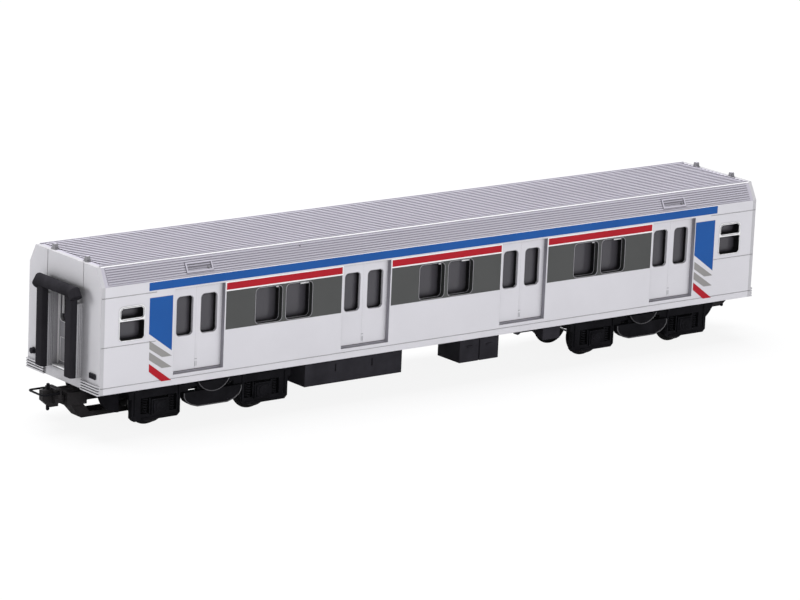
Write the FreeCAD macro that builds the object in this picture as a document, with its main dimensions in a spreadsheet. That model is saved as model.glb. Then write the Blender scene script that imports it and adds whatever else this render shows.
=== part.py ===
import FreeCAD, Part
import os
import re
import Sketcher

# HO scale model of a metro car, in millimetres.
# X runs along the car, Y across it, Z up; Z = 0 is the bottom of the wheel flanges.
# The car is centred on the origin, with end a at -X, end b at +X and its left side at -Y.

DIMENSIONS = {
    # body shell
    "body_length": 235.0,
    "body_width": 35.8,
    "sill_height": 13.3,
    "cantrail_height": 43.2,
    "roof_rise": 5.2,
    "roof_flat_width": 30.2,
    "side_thickness": 1.4,
    "end_thickness": 1.2,
    "roof_thickness": 1.2,
    "floor_thickness": 1.2,
    "floor_rise": 0.3,
    # roof ribs and lifting lugs
    "rib_width": 0.8,
    "rib_depth": 0.3,
    "rib_pitch": 1.667,
    "rib_count": 17.0,
    "rib_setback": 2.3,
    "slope_rib_width": 0.36,
    "slope_rib_depth": 0.16,
    "slope_rib_count": 7.0,
    "slope_rib_edge": 0.9,
    "bead_width": 0.4,
    "bead_inset": 0.2,
    "vent_length": 8.8,
    "vent_foot_share": 0.17,
    "vent_head_share": 0.66,
    "vent_bar": 0.45,
    "vent_depth": 0.4,
    "lug_spacing": 16.0,
    "lug_inset": 1.7,
    "lug_thickness": 0.9,
    "lug_rise": 1.5,
    "lug_foot_width": 1.5,
    "lug_top_width": 0.9,
    # fine grooves of the body
    "groove_width": 0.22,
    "groove_depth": 0.16,
    "sill_line": 15.2,
    "belt_line": 26.5,
    "gutter_drop": 3.0,
    "belt_reach": 6.0,
    "end_groove_place": 8.9,
    "flute_count": 3.0,
    "flute_pitch": 0.55,
    # side doors
    "outer_door_setback": 32.2,
    "door_width": 16.6,
    "door_bottom": 16.2,
    "door_head": 3.0,
    "door_landing": 0.6,
    "leaf_thickness": 0.8,
    "leaf_gap": 0.08,
    "leaf_window_place": 4.0,
    "leaf_window_width": 5.4,
    "leaf_window_bottom": 26.4,
    "leaf_window_head": 2.7,
    "leaf_window_bevel": 0.7,
    # side windows
    "window_bottom": 27.1,
    "window_head": 5.9,
    "window_width": 9.0,
    "window_pillar": 1.3,
    "window_shift": 0.15,
    "window_bevel": 0.7,
    "glass_lap": 0.7,
    "glass_thickness": 0.5,
    "end_window_setback": 10.0,
    "end_window_width": 8.4,
    "end_window_bottom": 27.6,
    "end_window_head": 5.9,
    "end_window_radius": 1.4,
    "window_frame_width": 0.55,
    "window_frame_edge": 0.2,
    "sash_bevel": 0.6,
    "window_frame_proud": 0.15,
    "transom_share": 0.61,
    "transom_depth": 0.7,
    # end doorway and gangway
    "doorway_width": 10.6,
    "doorway_bottom": 16.6,
    "doorway_head": 3.8,
    "doorway_depth": 1.5,
    "jamb_thickness": 0.8,
    "end_door_thickness": 0.8,
    "end_pane_width": 8.6,
    "end_pane_bottom": 29.3,
    "end_pane_head": 1.9,
    "end_pane_bevel": 0.9,
    "post_depth": 1.9,
    "leg_width": 3.8,
    "leg_depth": 1.7,
    "leg_round": 0.8,
    "leg_spacing": 14.4,
    "leg_bottom": 16.5,
    "roll_radius": 1.7,
    "roll_standoff": 2.6,
    "roll_drop": 2.9,
    "roll_straight": 16.8,
    "droop_width": 1.1,
    "droop_depth": 1.5,
    # end steps
    "step_gap": 0.05,
    "step_rise": 2.65,
    "step_back": 0.2,
    "step_proud": 0.6,
    "slat_depth": 0.42,
    "slat_count": 4.0,
    # ballast
    "ballast_length": 90.0,
    "ballast_width": 22.0,
    "ballast_depth": 2.0,
    # underframe boxes
    "box_inset": 2.5,
    "box_depth": 10.2,
    "battery_length": 34.1,
    "battery_bottom": 5.9,
    "battery_gap_share": 0.078,
    "battery_slit_place": 6.4,
    "slit_place": 3.3,
    "slit_width": 0.5,
    "slit_depth": 0.45,
    "slit_rise": 2.2,
    "compressor_length": 14.2,
    "compressor_bottom": 5.8,
    "compressor_gap_share": 0.449,
    "handle_length": 1.8,
    "handle_depth": 0.4,
    "handle_drop": 3.4,
    "tank_length": 6.4,
    "tank_bottom": 8.8,
    "tank_depth": 8.0,
    "tank_taper": 2.6,
    "tank_gap_share": 0.353,
    "clip_gap_share": 0.376,
    "clip_radius": 1.1,
    "clip_bottom": 11.9,
    # bogies
    "bogie_setback": 39.75,
    "wheelbase": 34.5,
    "wheel_side_gap": 1.9,
    "frame_thickness": 1.6,
    "frame_overhang": 9.75,
    "frame_top": 11.9,
    "beam_depth": 2.5,
    "pedestal_bottom": 3.0,
    "pedestal_tie": 1.9,
    "pedestal_reach_in": 7.1,
    "pedestal_reach_out": 8.9,
    "pedestal_bevel": 0.9,
    "notch_place": 6.1,
    "notch_width": 3.0,
    "notch_rise": 1.1,
    "column_width": 1.2,
    "axlebox_width": 5.4,
    "axlebox_bottom": 4.4,
    "axlebox_top": 8.9,
    "axlebox_proud": 0.6,
    "axlebox_lid": 0.35,
    "axlebox_rim": 0.5,
    "spring_radius": 1.1,
    "spring_core": 0.75,
    "spring_offset": 4.4,
    "spring_turns": 4.0,
    "headstock_width": 1.8,
    "headstock_depth": 2.0,
    "bolster_width": 13.0,
    "boss_radius": 3.0,
    "boss_gap": 0.1,
    "plank_width": 19.4,
    "plank_bottom": 5.0,
    "plank_depth": 2.0,
    "plank_proud": 1.0,
    "bowl_width": 10.4,
    "bowl_depth": 3.0,
    "bowl_proud": 1.4,
    "guard_radius": 6.6,
    "guard_spacing": 16.0,
    "guard_thickness": 0.9,
    # pivots, and how much wider an eight-sided hole is across its corners than across its flats
    "bar_allowance": 1.09,
    "pivot_radius": 1.4,
    "pivot_fit": 0.05,
    "pivot_head_radius": 2.4,
    "pivot_head_depth": 0.8,
    "pivot_play": 0.2,
    # wheelsets
    "tread_radius": 5.25,
    "flange_depth": 1.0,
    "flange_thickness": 0.8,
    "wheel_width": 2.8,
    "back_to_back": 14.4,
    "axle_radius": 0.95,
    "pit_depth": 0.7,
    "axle_point": 1.1,
    "bearing_fit": 0.06,
    # couplers, with lengths measured outward from the bogie centre
    "arm_width": 5.0,
    "arm_bottom": 2.9,
    "arm_thickness": 1.5,
    "post_gap": 2.5,
    "ramp_start": 35.2,
    "ramp_end": 39.0,
    "ramp_width": 4.1,
    "strut_bottom": 8.0,
    "strut_top": 10.8,
    "pocket_start": 34.2,
    "pocket_end": 40.6,
    "pocket_width": 7.2,
    "pocket_bottom": 7.1,
    "pocket_wall": 1.0,
    "tongue_play": 0.12,
    "coupler_pivot": 37.2,
    "coupler_pin_radius": 0.8,
    "coupler_fit": 0.05,
    "tongue_width": 3.6,
    "head_start": 41.7,
    "head_length": 2.1,
    "head_width": 5.2,
    "head_bottom": 8.0,
    "head_top": 12.0,
    "hook_length": 3.0,
    "hook_width": 1.8,
    "hook_bottom": 6.7,
    "hook_tip_bottom": 8.8,
    "hook_top": 11.6,
    "drop_pin_radius": 0.5,
    "drop_pin_place": 0.75,
    "drop_pin_bottom": 5.7,
    "drop_pin_top": 13.3,
    "bail_axis": 11.1,
    "bail_reach": 5.8,
    "bail_width": 7.0,
    "bail_radius": 0.3,
    "bail_fit": 0.06,
    "ledge_depth": 1.0,
}

# Sizes and places that follow from the driving ones.
DERIVED = {
    "inner_length": "body_length - 2 * end_thickness",
    "roof_height": "cantrail_height + roof_rise",
    "slope_run": "(body_width - roof_flat_width) / 2",
    "slope_length": "sqrt(slope_run * slope_run + roof_rise * roof_rise)",
    "gutter_line": "cantrail_height - gutter_drop",
    "door_top": "cantrail_height - door_head",
    "leaf_window_top": "door_top - leaf_window_head",
    "window_top": "cantrail_height - window_head",
    "end_window_top": "cantrail_height - end_window_head",
    "end_window_height": "end_window_top - end_window_bottom",
    "transom_place": "end_window_bottom + transom_share * end_window_height",
    "doorway_top": "cantrail_height - doorway_head",
    "end_pane_top": "doorway_top - end_pane_head",
    "roll_place": "cantrail_height - roll_drop",
    "leg_outer": "(leg_spacing + leg_width) / 2",
    "post_top": "roll_place - roll_radius - droop_depth",
    "floor_underside": "sill_height + floor_rise",
    "outer_door": "body_length / 2 - outer_door_setback",
    "inner_door": "outer_door / 3",
    "panel_centre": "(inner_door + outer_door) / 2",
    "end_window": "body_length / 2 - end_window_setback",
    "step_start": "leg_outer + step_gap",
    "step_width": "body_width / 2 - step_start",
    "bogie_centre": "body_length / 2 - bogie_setback",
    "frame_length": "wheelbase + 2 * frame_overhang",
    "frame_inner": "back_to_back / 2 + wheel_width + wheel_side_gap",
    "frame_outer": "frame_inner + frame_thickness",
    "beam_bottom": "frame_top - beam_depth",
    "tie_top": "pedestal_bottom + pedestal_tie",
    "pedestal_outer": "wheelbase / 2 + pedestal_reach_out",
    "pedestal_inner": "wheelbase / 2 - pedestal_reach_in",
    "bay": "bogie_centre - frame_length / 2",
    "frame_end": "bogie_centre + frame_length / 2",
    "post_place": "pivot_head_radius + post_gap",
    "pivot_bottom": "beam_bottom - pivot_play",
    "spare": "2 * bay - battery_length - compressor_length - tank_length",
    "battery_start": "battery_gap_share * spare - bay",
    "compressor_start": "battery_start + battery_length + compressor_gap_share * spare",
    "tank_start": "compressor_start + compressor_length + tank_gap_share * spare",
    "clip_place": "compressor_start + compressor_length + clip_gap_share * tank_gap_share * spare",
    "axle_height": "tread_radius + flange_depth",
    "axle_end": "frame_inner + pit_depth",
    "axle_shoulder": "axle_end - axle_point",
    "pocket_depth": "strut_top - pocket_bottom",
    "tongue_bottom": "pocket_bottom + pocket_wall + tongue_play",
    "tongue_depth": "pocket_depth - 2 * pocket_wall - 2 * tongue_play",
    "head_end": "head_start + head_length",
    "bail_pivot": "head_start + head_length / 2",
    "drop_pin_centre": "bogie_centre + head_end + drop_pin_place",
}

ALONG_X = FreeCAD.Rotation(FreeCAD.Vector(0, 1, 0), 90)
ALONG_Y = FreeCAD.Rotation(FreeCAD.Vector(1, 0, 0), -90)
ALONG_Z = FreeCAD.Rotation()
EDGES_ALONG_Y = (2, 4, 6, 8)
UPPER_EDGES_ALONG_Y = (2, 6)
LOWER_EDGES_ALONG_Y = (4, 8)
EDGES_ALONG_X = (9, 10, 11, 12)
FRONT_EDGES = (5, 7)
BAR_SIDES = 8

doc = FreeCAD.newDocument("scale_metro_car")
sheet = doc.addObject("Spreadsheet::Sheet", "Dims")
for row, (alias, size) in enumerate(DIMENSIONS.items(), start=1):
    sheet.set("A%d" % row, alias)
    sheet.set("B%d" % row, str(size))
    sheet.setAlias("B%d" % row, alias)
doc.recompute()

subparts = []


def formula(text):
    """Writes an expression with derived names worked out and the sheet's name before its aliases."""
    def in_full(match):
        word = match.group(0)
        if word in DERIVED:
            return "(" + formula(DERIVED[word]) + ")"
        return "Dims." + word if word in DIMENSIONS else word
    return re.sub(r"[A-Za-z_][A-Za-z_0-9]*", in_full, str(text))


def bind(item, **sizes):
    for prop, text in sizes.items():
        item.setExpression(prop, formula(text))
    return item


def locate(item, x, y, z):
    item.setExpression("Placement.Base.x", formula(x))
    item.setExpression("Placement.Base.y", formula(y))
    item.setExpression("Placement.Base.z", formula(z))
    return item


def block(name, x, y, z, length, width, depth):
    """A box from its lowest corner."""
    item = bind(doc.addObject("Part::Box", name), Length=length, Width=width, Height=depth)
    return locate(item, x, y, z)


def rod(name, x, y, z, radius, length, direction=ALONG_Z):
    item = bind(doc.addObject("Part::Cylinder", name), Radius=radius, Height=length)
    item.Placement.Rotation = direction
    return locate(item, x, y, z)


def bar(name, x, y, z, radius, length, direction=ALONG_Z):
    """A length of thin bar or wire, with eight sides."""
    item = bind(doc.addObject("Part::Prism", name), Circumradius=radius, Height=length)
    item.Polygon = BAR_SIDES
    item.Placement.Rotation = direction
    return locate(item, x, y, z)


def rounded(name, source, radius_alias, edges):
    item = doc.addObject("Part::Fillet", name)
    item.Base = source
    radius = float(getattr(sheet, radius_alias))
    item.Edges = [(edge, radius, radius) for edge in edges]
    return item


def bevelled(name, source, size_alias, edges):
    item = doc.addObject("Part::Chamfer", name)
    item.Base = source
    size = float(getattr(sheet, size_alias))
    item.Edges = [(edge, size, size) for edge in edges]
    return item


def fused(name, items):
    item = doc.addObject("Part::MultiFuse", name)
    item.Shapes = items
    return item


def without(name, base, tool):
    item = doc.addObject("Part::Cut", name)
    item.Base = base
    item.Tool = tool
    return item


def shared(name, base, tool):
    """What two shapes have in common."""
    item = doc.addObject("Part::Common", name)
    item.Base = base
    item.Tool = tool
    return item


def group(name, items):
    """Like pieces that don't touch, kept together."""
    item = doc.addObject("Part::Compound", name)
    item.Links = items
    return item


def mirrored(name, source, x=0, y=0):
    item = doc.addObject("Part::Mirroring", name)
    item.Source = source
    item.Normal = FreeCAD.Vector(x, y, 0)
    return item


def half_turn(name, source):
    """The same piece on the other side of the car, turned about the vertical."""
    return mirrored(name, mirrored(name + "_first", source, x=1), y=1)


def both_sides(name, source):
    return group(name, [source, mirrored(name + "_far", source, y=1)])


def origin_plane(body, role):
    return [item for item in body.Origin.OriginFeatures if item.Role == role][0]


def new_sketch(body, name, role):
    sketch = body.newObject("Sketcher::SketchObject", name)
    sketch.AttachmentSupport = [(origin_plane(body, role), "")]
    sketch.MapMode = "FlatFace"
    return sketch


def place_point(sketch, line, end, across, up):
    """Ties one end or the centre of a sketched line or circle to its place in the sheet."""
    for kind, text in (("DistanceX", across), ("DistanceY", up)):
        place = sketch.addConstraint(Sketcher.Constraint(kind, -1, 1, line, end, 1.0))
        sketch.setExpression("Constraints[%d]" % place, formula(text))


def outline(body, name, role, polygons):
    """A sketch of closed polygons."""
    sketch = new_sketch(body, name, role)
    for corners in polygons:
        first = sketch.GeometryCount
        count = len(corners)
        rough = [FreeCAD.Vector(number, number * number, 0) for number in range(count)]
        for number, (across, up) in enumerate(corners):
            sketch.addGeometry(Part.LineSegment(rough[number], rough[(number + 1) % count]))
        for number, (across, up) in enumerate(corners):
            following = first + (number + 1) % count
            sketch.addConstraint(Sketcher.Constraint("Coincident", first + number, 2, following, 1))
            place_point(sketch, first + number, 1, across, up)
    return sketch


def open_line(body, name, role, points):
    """A sketch of straight stretches from point to point."""
    sketch = new_sketch(body, name, role)
    for number in range(len(points) - 1):
        sketch.addGeometry(Part.LineSegment(FreeCAD.Vector(number, number * number, 0),
                                            FreeCAD.Vector(number + 1, (number + 1) ** 2, 0)))
        place_point(sketch, number, 1, *points[number])
        if number:
            sketch.addConstraint(Sketcher.Constraint("Coincident", number - 1, 2, number, 1))
    place_point(sketch, len(points) - 2, 2, *points[-1])
    return sketch


def padded(name, role, polygons, length, x="0", y="0", z="0"):
    """A profile padded to both sides of its plane."""
    body = doc.addObject("PartDesign::Body", name)
    pad = body.newObject("PartDesign::Pad", name + "_pad")
    pad.Profile = outline(body, name + "_outline", role, polygons)
    pad.Midplane = True
    bind(pad, Length=length)
    body.Tip = pad
    return locate(body, x, y, z)


def turned(name, corners, x="0", y="0", z="0"):
    """A profile of (place along Y, radius) turned about the Y axis."""
    body = doc.addObject("PartDesign::Body", name)
    sketch = outline(body, name + "_outline", "YZ_Plane", [corners])
    turn = body.newObject("PartDesign::Revolution", name + "_turn")
    turn.Profile = sketch
    turn.ReferenceAxis = (sketch, ["H_Axis"])
    turn.Angle = 360
    body.Tip = turn
    return locate(body, x, y, z)


def rectangle(left, right, low, high):
    return [(left, low), (right, low), (right, high), (left, high)]


def keep(name, item):
    item.Label = name
    subparts.append(item)


def keep_both_ends(name, item):
    keep(name + "_b", item)
    keep(name + "_a", mirrored(name + "_mirror", item, x=1))


def door_centres():
    return ["-outer_door", "-inner_door", "inner_door", "outer_door"]


def panel_centres():
    return ["-panel_centre", "0", "panel_centre"]


def window_starts():
    """Left edges of the six saloon windows of one side."""
    starts = []
    for centre in panel_centres():
        starts.append("%s - window_shift - window_pillar / 2 - window_width" % centre)
        starts.append("%s - window_shift + window_pillar / 2" % centre)
    return starts


def end_window_starts():
    return ["-end_window - end_window_width / 2", "end_window - end_window_width / 2"]


def left_plane(inset):
    """A plane parallel to the left side, this far inside it."""
    return "(%s - body_width / 2)" % inset


def side_lines():
    """The fine grooves of one side: above the sill, and the belt and gutter lines by the ends."""
    cutter = left_plane("-groove_depth")
    depth = "2 * groove_depth"
    start = "(outer_door + door_width / 2 + belt_reach)"
    lines = [block("sill_groove", "-inner_length / 2 - 1", cutter, "sill_line - groove_width / 2",
                   "inner_length + 2", depth, "groove_width")]
    for number, height in enumerate(("belt_line", "gutter_line")):
        for hand in (-1, 1):
            edge = start if hand > 0 else "-inner_length / 2"
            lines.append(block("line_%d_%d" % (number, hand + 1), edge, cutter,
                               "%s - groove_width / 2" % height, "inner_length / 2 - %s" % start, depth,
                               "groove_width"))
    return lines


def body_side():
    wall = block("side_wall", "-inner_length / 2", left_plane("0"), "sill_height", "inner_length",
                 "side_thickness", "cantrail_height - sill_height")
    cutter = left_plane("-side_thickness")
    holes = side_lines()
    for number, centre in enumerate(door_centres()):
        holes.append(block("door_hole_%d" % number, "%s - door_width / 2" % centre, cutter,
                           "door_bottom", "door_width", "3 * side_thickness", "door_top - door_bottom"))
    for number, start in enumerate(window_starts()):
        hole = block("window_block_%d" % number, start, cutter, "window_bottom", "window_width",
                     "3 * side_thickness", "window_top - window_bottom")
        holes.append(bevelled("window_hole_%d" % number, hole, "window_bevel", EDGES_ALONG_Y))
    for number, start in enumerate(end_window_starts()):
        hole = block("end_window_block_%d" % number, start, cutter, "end_window_bottom",
                     "end_window_width", "3 * side_thickness", "end_window_top - end_window_bottom")
        holes.append(rounded("end_window_hole_%d" % number, hole, "end_window_radius", EDGES_ALONG_Y))
    side = without("side", wall, fused("side_holes", holes))
    keep("body_side_left", side)
    keep("body_side_right", half_turn("side_turned", side))


def door_leaf(name, centre, hand):
    """One sliding leaf, landed behind the edge of its opening; hand is 1 towards +X."""
    reach = "(door_width / 2 + door_landing - leaf_gap / 2)"
    start = "%s + leaf_gap / 2" % centre if hand > 0 else "%s - leaf_gap / 2 - %s" % (centre, reach)
    leaf = block(name + "_leaf", start, left_plane("side_thickness"), "door_bottom - door_landing",
                 reach, "leaf_thickness", "door_top - door_bottom + 2 * door_landing")
    hole = block(name + "_block", "%s + %d * leaf_window_place - leaf_window_width / 2" % (centre, hand),
                 left_plane("side_thickness - leaf_thickness"), "leaf_window_bottom",
                 "leaf_window_width", "3 * leaf_thickness", "leaf_window_top - leaf_window_bottom")
    return without(name, leaf, bevelled(name + "_hole", hole, "leaf_window_bevel", EDGES_ALONG_Y))


def doors():
    leaves = []
    for number, centre in enumerate(door_centres()):
        leaves.append(door_leaf("door_%d_rear" % number, centre, -1))
        leaves.append(door_leaf("door_%d_front" % number, centre, 1))
    near = group("door_leaves", leaves)
    keep("doors_left", near)
    keep("doors_right", half_turn("doors_turned", near))


def glass_strip(name, start, width, low, high, inset):
    """A flat strip of glazing that laps the wall behind a window."""
    return block(name, "%s - glass_lap" % start, left_plane(inset), "%s - glass_lap" % low,
                 "%s + 2 * glass_lap" % width, "glass_thickness", "%s - %s + 2 * glass_lap" % (high, low))


def glazing():
    pieces = []
    starts = window_starts()
    for number in range(0, len(starts), 2):
        pieces.append(glass_strip("glass_%d" % number, starts[number],
                                  "(2 * window_width + window_pillar)", "window_bottom", "window_top",
                                  "side_thickness"))
    for number, start in enumerate(end_window_starts()):
        pieces.append(glass_strip("end_glass_%d" % number, start, "end_window_width",
                                  "end_window_bottom", "end_window_top", "side_thickness"))
    for number, centre in enumerate(door_centres()):
        for hand in (-1, 1):
            start = "%s + %d * leaf_window_place - leaf_window_width / 2" % (centre, hand)
            pieces.append(glass_strip("leaf_glass_%d_%d" % (number, hand + 1), start,
                                      "leaf_window_width", "leaf_window_bottom", "leaf_window_top",
                                      "(side_thickness + leaf_thickness)"))
    near = group("glass", pieces)
    keep("glazing_left", near)
    keep("glazing_right", half_turn("glass_turned", near))


def sash_opening(name, start, width, low, high, edges):
    """An opening through an end window's frame, with the corners away from the transom bevelled."""
    opening = block(name + "_block", "%s + %s" % (start, width), left_plane("-side_thickness"), low,
                    "end_window_width - 2 * %s" % width, "3 * side_thickness", "%s - (%s)" % (high, low))
    return bevelled(name, opening, "sash_bevel", edges)


def end_window_frame(name, start):
    """A silver frame round the upper sash of an end window, its transom bar and the fine edge below."""
    whole = block(name + "_whole", start, left_plane("-window_frame_proud"), "end_window_bottom",
                  "end_window_width", "(side_thickness + window_frame_proud)",
                  "end_window_top - end_window_bottom")
    upper = sash_opening(name + "_upper", start, "window_frame_width", "transom_place + transom_depth / 2",
                         "end_window_top - window_frame_width", UPPER_EDGES_ALONG_Y)
    lower = sash_opening(name + "_lower", start, "window_frame_edge",
                         "end_window_bottom + window_frame_edge", "transom_place - transom_depth / 2",
                         LOWER_EDGES_ALONG_Y)
    return without(name, rounded(name + "_outer", whole, "end_window_radius", EDGES_ALONG_Y),
                   fused(name + "_sashes", [upper, lower]))


def end_window_frames():
    near = group("frames", [end_window_frame("frame_%d" % number, start)
                            for number, start in enumerate(end_window_starts())])
    keep("window_frames_left", near)
    keep("window_frames_right", half_turn("frames_turned", near))


def shell_section():
    """Outline of the whole body in its cross section."""
    half = "body_width / 2"
    flat = "roof_flat_width / 2"
    return [("-" + half, "sill_height"), (half, "sill_height"), (half, "cantrail_height"),
            (flat, "roof_height"), ("-" + flat, "roof_height"), ("-" + half, "cantrail_height")]


def end_grooves():
    """The seams above the gangway roll, the flutes of its posts and the lines round the corners."""
    face = "body_length / 2 - groove_depth"
    cuts = []
    for hand in (-1, 1):
        cuts.append(block("seam_%d" % (hand + 1), face, "%d * end_groove_place - groove_width / 2" % hand,
                          "roll_place", "2 * groove_depth", "groove_width", "roof_height"))
        for number in range(int(sheet.flute_count)):
            place = "body_length / 2 + post_depth - %d * flute_pitch - groove_width / 2" % (number + 1)
            for side, across in enumerate(("doorway_width / 2", "leg_outer")):
                cuts.append(block("flute_%d_%d_%d" % (hand + 1, number, side), place,
                                  "%d * %s - groove_depth" % (hand, across), "leg_bottom",
                                  "groove_width", "2 * groove_depth", "post_top - leg_bottom"))
        for number, height in enumerate(("sill_line", "belt_line", "gutter_line")):
            side = "%d * (body_width / 2)" % hand
            cuts.append(block("corner_line_%d_%d" % (hand + 1, number),
                              "body_length / 2 - end_thickness - 1", "%s - groove_depth" % side,
                              "%s - groove_width / 2" % height, "end_thickness + 1 - groove_depth",
                              "2 * groove_depth", "groove_width"))
    return fused("end_cuts", cuts)


def body_ends():
    doorway = rectangle("-doorway_width / 2", "doorway_width / 2", "doorway_bottom", "doorway_top")
    plate = padded("end_plate", "YZ_Plane", [shell_section(), doorway], "end_thickness",
                   x="body_length / 2 - end_thickness / 2")
    surround = rectangle("-doorway_width / 2 - jamb_thickness", "doorway_width / 2 + jamb_thickness",
                         "doorway_bottom - jamb_thickness", "doorway_top + jamb_thickness")
    jamb = padded("jamb", "YZ_Plane", [surround, doorway],
                  "doorway_depth + end_door_thickness - end_thickness",
                  x="body_length / 2 - (doorway_depth + end_door_thickness + end_thickness) / 2")
    posts = [block("post_%d" % (hand + 1), "body_length / 2", across, "leg_bottom", "post_depth",
                   "leg_outer - doorway_width / 2", "post_top - leg_bottom")
             for hand, across in ((-1, "-leg_outer"), (1, "doorway_width / 2"))]
    cap = without("end_grooved", fused("end_cap", [plate, jamb] + posts), end_grooves())
    keep_both_ends("body_end", cap)


def end_doors():
    inner_face = "body_length / 2 - doorway_depth - end_door_thickness"
    door = block("end_door_plate", inner_face, "-doorway_width / 2", "doorway_bottom",
                 "end_door_thickness", "doorway_width", "doorway_top - doorway_bottom")
    hole = block("end_door_block", "%s - end_door_thickness" % inner_face, "-end_pane_width / 2",
                 "end_pane_bottom", "3 * end_door_thickness", "end_pane_width",
                 "end_pane_top - end_pane_bottom")
    opening = bevelled("end_door_opening", hole, "end_pane_bevel", EDGES_ALONG_X)
    keep_both_ends("end_door", without("end_door_leaf", door, opening))
    glass = block("end_door_pane", "%s - glass_thickness" % inner_face,
                  "-end_pane_width / 2 - glass_lap", "end_pane_bottom - glass_lap", "glass_thickness",
                  "end_pane_width + 2 * glass_lap", "end_pane_top - end_pane_bottom + 2 * glass_lap")
    keep("end_door_glass", group("end_door_panes", [glass, mirrored("end_door_pane_a", glass, x=1)]))


def roof_rib(body):
    """The first of the ribs on the flat of the roof, repeated across it."""
    start = "-(rib_pitch * (rib_count - 1) + rib_width) / 2"
    sketch = outline(body, "rib_outline", "YZ_Plane",
                     [rectangle(start, "%s + rib_width" % start, "roof_height - rib_depth",
                                "roof_height + rib_depth")])
    rib = body.newObject("PartDesign::Pad", "rib")
    rib.Profile = sketch
    rib.Midplane = True
    bind(rib, Length="body_length - 2 * rib_setback")
    ribs = body.newObject("PartDesign::LinearPattern", "ribs")
    ribs.Originals = [rib]
    ribs.Direction = (sketch, ["H_Axis"])
    bind(ribs, Length="rib_pitch * (rib_count - 1)", Occurrences="rib_count")
    body.Tip = ribs


def on_slope(low, high, depth, hand):
    """Corners of a strip square to the roof's slope, between two distances up it from the cantrail."""
    corners = []
    for along, out in ((low, "-"), (high, "-"), (high, "+"), (low, "+")):
        place = "(%s) / slope_length" % along
        lift = "(%s%s) / slope_length" % (out, depth)
        y = "%d * (body_width / 2 - %s * slope_run + %s * roof_rise)" % (hand, place, lift)
        z = "cantrail_height + %s * roof_rise + %s * slope_run" % (place, lift)
        corners.append((y, z))
    return corners


def slope_ribs():
    """The fine ribs of both slopes."""
    strips = []
    for hand in (-1, 1):
        for number in range(int(sheet.slope_rib_count)):
            along = "slope_rib_edge + %d * (slope_length - 2 * slope_rib_edge) / (slope_rib_count - 1)"
            low = along % number + " - slope_rib_width / 2"
            strips.append(on_slope(low, low + " + slope_rib_width", "slope_rib_depth", hand))
    return strips


def slope_vents():
    """Raised rims of the vents on the slopes, above the outer doors."""
    bars = []
    for hand in (-1, 1):
        low = "vent_foot_share * slope_length"
        high = "vent_head_share * slope_length"
        long_bars = [on_slope(low, low + " + vent_bar", "vent_depth", hand),
                     on_slope(high + " - vent_bar", high, "vent_depth", hand)]
        ends = [on_slope(low, high, "vent_depth", hand)]
        for place in (-1, 1):
            name = "vent_%d_%d" % (hand + 1, place + 1)
            bars.append(padded(name + "_rims", "YZ_Plane", long_bars, "vent_length",
                               x="%d * outer_door" % place))
            for side in (-1, 1):
                bars.append(padded("%s_end_%d" % (name, side + 1), "YZ_Plane", ends, "vent_bar",
                                   x="%d * outer_door + %d * (vent_length - vent_bar) / 2" % (place, side)))
    return bars


def roof_beads():
    """Raised lines along the edges of the roof's flat."""
    return [block("bead_%d" % (hand + 1), "-inner_length / 2",
                  "%d * (roof_flat_width / 2 - bead_inset - bead_width / 2) - bead_width / 2" % hand,
                  "roof_height - rib_depth", "inner_length", "bead_width", "2 * rib_depth")
            for hand in (-1, 1)]


def lifting_lugs():
    """Four tapered lugs that stand on the roof by its ends."""
    corners = [("-lug_foot_width / 2", "roof_height - rib_depth"),
               ("lug_foot_width / 2", "roof_height - rib_depth"),
               ("lug_top_width / 2", "roof_height + lug_rise"),
               ("-lug_top_width / 2", "roof_height + lug_rise")]
    return [padded("lug_%d_%d" % (end + 1, hand + 1), "YZ_Plane", [corners], "lug_thickness",
                   x="%d * (body_length / 2 - lug_inset)" % end, y="%d * lug_spacing / 2" % hand)
            for end in (-1, 1) for hand in (-1, 1)]


def roof():
    skin = "(roof_thickness * slope_length / roof_rise)"
    flat = "(roof_flat_width / 2 + roof_thickness * slope_run / roof_rise - %s)" % skin
    section = [("-body_width / 2", "cantrail_height"), ("-roof_flat_width / 2", "roof_height"),
               ("roof_flat_width / 2", "roof_height"), ("body_width / 2", "cantrail_height"),
               ("body_width / 2 - %s" % skin, "cantrail_height"), (flat, "roof_height - roof_thickness"),
               ("-" + flat, "roof_height - roof_thickness"),
               ("%s - body_width / 2" % skin, "cantrail_height")]
    body = padded("roof_body", "YZ_Plane", [section], "inner_length")
    fine = body.newObject("PartDesign::Pad", "slope_ribs")
    fine.Profile = outline(body, "slope_rib_outline", "YZ_Plane", slope_ribs())
    fine.Midplane = True
    bind(fine, Length="body_length - 2 * rib_setback")
    roof_rib(body)
    keep("roof", fused("roof_whole", [body] + roof_beads() + slope_vents() + lifting_lugs()))


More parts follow.
